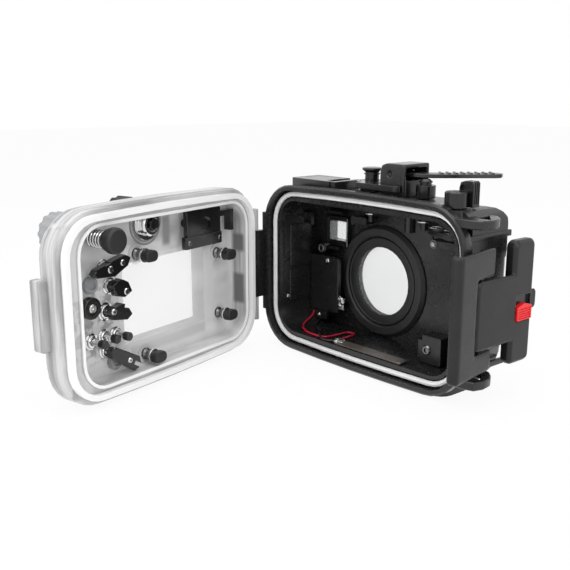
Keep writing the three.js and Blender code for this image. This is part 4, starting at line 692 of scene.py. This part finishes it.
def dress_case():
    dress("main_body", HOUSING, 0.5)
    dress("port_collar", PORT, 0.4)
    dress("port_mask", PORT, 0.3)
    dress("front_port_barrel", PORT, 0.3)
    dress("viewfinder_frame", INSIDE, 0.25)
    dress("leak_alarm_cover", INSIDE, 0.3)
    dress("camera_shelf", INSIDE, 0.3)
    dress("camera_stop_block", INSIDE, 0.3)
    dress("cold_shoe", SATIN, 0.35)
    dress_soft("shutter_bridge", SATIN, 0.4, 16)
    dress("shutter_lever", HOUSING, 0.35)
    dress("power_lever", GLOSSY, 0.4)
    dress("dial_lever", GLOSSY, 0.4)
    dress("dial_inner_arm", INSIDE, 0.2)
    dress_soft("latch_lever", LATCH, 0.28, 24)
    dress_soft("latch_hook", LATCH, 0.45, 44)
    dress("lock_slider", RED, 0.15)
    dress("shutter_gland", GLOSSY, 0.2)
    dress("button_gland", GLOSSY, 0.2)
    dress("top_button", GLOSSY, 0.2)
    dress("shutter_plunger", GLOSSY, 0.15)
    for node in ("port_glass", "viewfinder_window"):
        dress(node, WINDOW, 0.2)
    for node in ("hinge_pin", "latch_fulcrum_pin", "latch_hook_pin", "dial_torsion_wire", "tripod_insert"):
        paint(node, STEEL)
    dress("leak_contact_clip", STEEL, 0.08)
    dress("leak_sensor_strip", SENSOR, 0.1)
    paint("main_seal", SEAL)


def dress_door():
    dress("door_shell", DOOR, 0.5)
    dress("eyepiece_bracket", GLOSSY, 0.3)
    dress("knob_gland", CHROME, 0.2)
    dress("thumb_knob", KNOB_CLEAR, 0.3)
    dress("thumb_wheel", RUBBER, 0.3)
    dress("control_knob", RUBBER, 0.3)
    dress("knob_driver", GLOSSY, 0.2)
    for index in range(1, 5):
        dress(f"bumper_post_{index}", DARK_STEEL, 0.15)
        dress(f"bumper_cap_{index}", RUBBER, 0.3)
    for index in range(1, 4):
        bright_stem(dress(f"offset_arm_{index}", GLOSSY, 0.3), ARM_BACK)
        bright_stem(dress(f"button_plunger_{index}", GLOSSY, 0.2), TIP_BACK)
    bright_stem(dress("fork_arm", GLOSSY, 0.3), ARM_BACK)
    dress("ring_button", GLOSSY, 0.3)


# Small pieces of the case

CLIP_SOLDER = [((-38.4, 29.6, -20.6), (1.9, 0.9, 1.5)), ((-36.6, 29.5, -22.6), (1.5, 0.9, 1.7)),
               ((-38.7, 29.6, -24.6), (1.2, 0.7, 1.4))]
STRIP_SOLDER = [((-20.6, 11.4, -38.3), (2.3, 1.9, 0.9)), ((-17.2, 10.2, -38.2), (1.7, 2.1, 0.8)),
                ((-19.4, 7.6, -38.3), (1.6, 1.1, 0.8)), ((-15.4, 8.2, -38.3), (1.2, 0.9, 0.6))]
STRIP_SEED = 5
COVER_X = -57.0
COVER_BOSS = (COVER_X, 0, 8.0)
SHELF_SCREW = (39.4, 0, 25.0)
STOP_SCREW = (39.4, 0, -31.8)
BUTTON, PLUNGER = (-9.0, 24.0, 0), (29.5, 24.0, 0)


def case_block(name, outline, axis, low, high, material, soft_edge, body="housing"):
    prism(name, outline, axis, low, high, case_place, material, body, soft_edge)


def case_screw(name, centre, axis, radius, low, high, material=STEEL, socket=0.45):
    screw(name, centre, axis, case_place, radius, low, high, material, "housing", socket)


def case_washer(name, centre, axis, inner, outer, low, high, material, body="housing"):
    washer(name, centre, axis, case_place, inner, outer, low, high, material, body)


def leak_alarm_details():
    case_block("leak_cover_tab", rounded(-64.6, -50.5, -36.6, -31.3, 1.2), "y", 29.7, 31.6, INSIDE, 0.25)
    case_block("leak_cover_tab_root", rounded(-62.6, -52.5, -35.6, -32.0, 1.0), "y", 31.6, FRONT_WALL, INSIDE, 0.25)
    case_screw("leak_screw_high", (-50.0, 0, 1.3), "y", 1.7, 30.6, 29.0)
    case_screw("leak_screw_low", (COVER_X, 0, -34.2), "y", 1.3, 29.8, 29.1)
    boss = [(0, FRONT_WALL), (3.4, FRONT_WALL), (3.4, 31.5), (2.9, 30.9), (1.6, 30.9), (1.4, 31.8), (0, 31.8)]
    revolve("leak_cover_boss", boss, COVER_BOSS, "y", case_place, INSIDE, "housing", 32)
    case_washer("leak_cover_boss_rim", COVER_BOSS, "y", 1.5, 2.4, 30.5, 30.95, STEEL)
    case_screw("wall_screw", (0, 11.3, -20.7), "x", 1.3, WALL_LEFT + 0.1, WALL_LEFT + 0.9)
    for index, (place, size) in enumerate(CLIP_SOLDER):
        lump(f"clip_solder_{index + 1}", place, size, index)
    for index, (place, size) in enumerate(STRIP_SOLDER):
        lump(f"strip_solder_{index + 1}", place, size, STRIP_SEED + index)
    for index, x in enumerate((-18.4, 28.6)):
        case_block(f"strip_pad_{index + 1}", rounded(x, x + 3.2, 6.0, 12.5, 0.5), "z", STRIP_TOP, STRIP_TOP + 0.22,
                   STEEL, 0.05)


def chamber_details():
    left = WALL_LEFT + 0.05
    case_block("wall_panel_high", rounded(8.0, 23.5, 3.6, 29.0, 0.6), "x", left, left + 0.7, INSIDE, 0.2)
    case_block("wall_panel_low", rounded(8.0, 27.0, -17.8, 1.2, 0.6), "x", left, left + 0.5, INSIDE, 0.2)
    # A thin chrome strip at the finder frame's right edge stands in for a bright line there: a painted highlight
    case_block("finder_edge_highlight", rounded(-40.0, -39.4, 10.4, 27.6, 0.2), "y", 35.6, 36.3, CHROME, 0.08)
    case_block("finder_rail", rounded(-57.0, -42.0, 30.0, 31.6, 0.5), "y", 33.0, FRONT_WALL, INSIDE, 0.2)
    case_block("finder_sill", rounded(-59.5, -46.0, 7.6, 9.4, 0.5), "y", 34.5, FRONT_WALL, INSIDE, 0.2)
    case_screw("shelf_screw", SHELF_SCREW, "y", 1.5, 20.2, 19.1, STEEL, 0.5)
    case_washer("shelf_washer", SHELF_SCREW, "y", 1.5, 2.3, 20.0, 19.7, DARK_STEEL)
    case_screw("stop_screw", STOP_SCREW, "y", 2.7, 18.3, 17.0, DARK_STEEL, 0.5)
    case_screw("ceiling_screw", (-6.0, 31.0, 0), "z", 1.4, CEILING - 0.2, CEILING - 1.2)
    case_washer("plunger_clip", PLUNGER, "z", 2.9, 4.3, 35.0, 35.7, STEEL, "shutter_plunger")
    case_washer("button_clip", BUTTON, "z", 1.9, 3.6, 35.0, 35.7, STEEL, "top_button")
    case_washer("plunger_ring", PLUNGER, "z", 2.95, 3.5, 55.8, 56.6, GLOSSY, "shutter_plunger")
    case_washer("button_ring", BUTTON, "z", 1.9, 4.5, 57.3, 58.0, GLOSSY, "top_button")


def outside_details():
    case_block("slider_floor", rounded(31.5, 45.7, -10.4, 4.2, 0.5), "x", 80.3, 80.75, HOUSING, 0.1, "latch_lever")
    case_block("bridge_core", rounded(8.2, 20.4, 18.6, 34.4, 1.0), "z", 47.5, 56.2, HOUSING, 0.3)
    case_block("shoe_plate", rounded(-56.8, -35.0, 12.2, 28.3, 0.8), "z", 52.0, 52.65, SATIN, 0.12, "housing")


# Small pieces of the door

# Stems through its wall: x, z and the radius of the ring round them
STEMS = {"arm_1": (37.5, 16.7, 4.4), "arm_2": (33.7, 6.7, 4.4), "arm_3": (37.3, -5.9, 4.8),
         "fork": (38.6, -26.2, 4.0), "tip_1": (31.0, -18.8, 3.6), "tip_2": (39.0, -18.3, 3.6),
         "tip_3": (47.4, -19.2, 4.2)}
BUMPERS = [(13.8, 19.8), (9.8, -35.3), (-50.9, 10.3), (-51.5, -25.9)]
CLEAR_BOSSES = [(46.6, 9.4), (32.8, -33.4)]
BOSS_PROFILE = [(0, DOOR_WALL), (4.2, DOOR_WALL), (4.2, -8.2), (3.4, -7.4), (2.2, -7.4), (1.9, -8.6), (0, -8.6)]
KNOB_X, KNOB_Z = 5.9, 34.9
# Screw heads on the arms: name, x, z, radius, height over the arm, body
ARM_SCREWS = [("arm_1_screw_1", 38.9, 16.8, 1.9, 0.6, "offset_arm_1"),
              ("arm_1_screw_2", 30.7, 19.0, 1.6, 0.6, "offset_arm_1"),
              ("arm_2_screw", 28.9, 3.9, 1.8, 0.6, "offset_arm_2"),
              ("arm_3_screw", 38.1, -4.9, 1.7, 0.6, "offset_arm_3"),
              ("fork_screw", 28.6, -32.6, 1.5, 0.5, "fork_arm")]


def door_washer(name, x, z, inner, outer, low, high, material, steps=40, soft_edge=0.12):
    washer(name, (x, 0, z), "y", door_place, inner, outer, low, high, material, "door", steps, soft_edge)


def door_details():
    for name, (x, z, radius) in STEMS.items():
        gland("gland_" + name, x, z, radius, 2.4)
    for index, (x, z) in enumerate(BUMPERS):
        # A chrome band on each post stands in for the bright band that the clear post shows: a painted highlight
        door_washer(f"bumper_highlight_ring_{index + 1}", x, z, 3.1, 3.8, -4.2, -3.3, CHROME)
        door_washer(f"bumper_base_{index + 1}", x, z, 3.3, 5.4, DOOR_WALL, DOOR_WALL + 0.7, DOOR, 40, 0.3)
    for index, (x, z) in enumerate(CLEAR_BOSSES):
        revolve(f"clear_boss_{index + 1}", BOSS_PROFILE, (x, 0, z), "y", door_place, KNOB_CLEAR, "door", 32)
    # Two dark translucent rings round the control knob's pocket: painted shadow, where the pocket's shade falls
    for index, (inner, outer, high) in enumerate(((9.3, 9.8, 0.5), (10.5, 11.6, 0.35))):
        door_washer(f"pocket_shadow_ring_{index + 1}", KNOB_X, KNOB_Z, inner, outer, DOOR_WALL + 0.02,
                    DOOR_WALL + high, PAINTED_SHADE_CLEAR, 64, 0.12)
    for index, x in enumerate((-19.8, -45.5)):
        screw(f"bracket_screw_{index + 1}", (x, 0, 20.9), "y", door_place, 1.35, -3.0, -2.2, DARK_STEEL, "door")
    for name, x, z, radius, height, body in ARM_SCREWS:
        screw(name, (x, 0, z), "y", door_place, radius, ARM_FRONT - 0.4, ARM_FRONT + height, STEEL, body, 0.4)
    screw("ring_screw", (48.8, 0, -1.4), "y", door_place, 2.3, -6.6, -4.9, STEEL, "ring_button")


def spring():
    """The thumb wheel's spring: one tube of round wire."""
    centre_x, centre_z, low, high = 43.7, 32.7, -9.75, 1.35
    radius, thick, turns, per_turn, sides = 4.1, 0.45, 6, 24, 10
    points, faces = [], []
    steps = turns * per_turn
    for step in range(steps + 1):
        angle = 2 * pi * step / per_turn
        along = low + (high - low) * step / steps
        for side in range(sides):
            around = 2 * pi * side / sides
            reach = radius + thick * cos(around)
            points.append(door_place(centre_x + reach * cos(angle), along + thick * sin(around),
                                     centre_z + reach * sin(angle)))
    for step in range(steps):
        here, there = step * sides, (step + 1) * sides
        for side in range(sides):
            after = (side + 1) % sides
            faces.append([here + side, here + after, there + after, there + side])
    faces.append(list(range(sides))[::-1])
    faces.append([steps * sides + side for side in range(sides)])
    mesh = bpy.data.meshes.new("thumb_spring_wire")
    mesh.from_pydata(points, [], faces)
    shade(mesh)
    mesh.materials.append(CHROME)
    piece = bpy.data.objects.new("thumb_spring_wire", mesh)
    bpy.context.scene.collection.objects.link(piece)
    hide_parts("thumb_spring")
    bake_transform(piece)


build_camera()
wire("red_wire", "leak_wire_red", RED_ROUTE, WIRE_RED)
wire("black_wire", "leak_wire_black", BLACK_ROUTE, WIRE_BLACK)
build_world()
build_lights()
build_stage()
bpy.context.scene.view_settings.view_transform = "Standard"
dress_case()
dress_door()
leak_alarm_details()
chamber_details()
outside_details()
door_details()
spring()
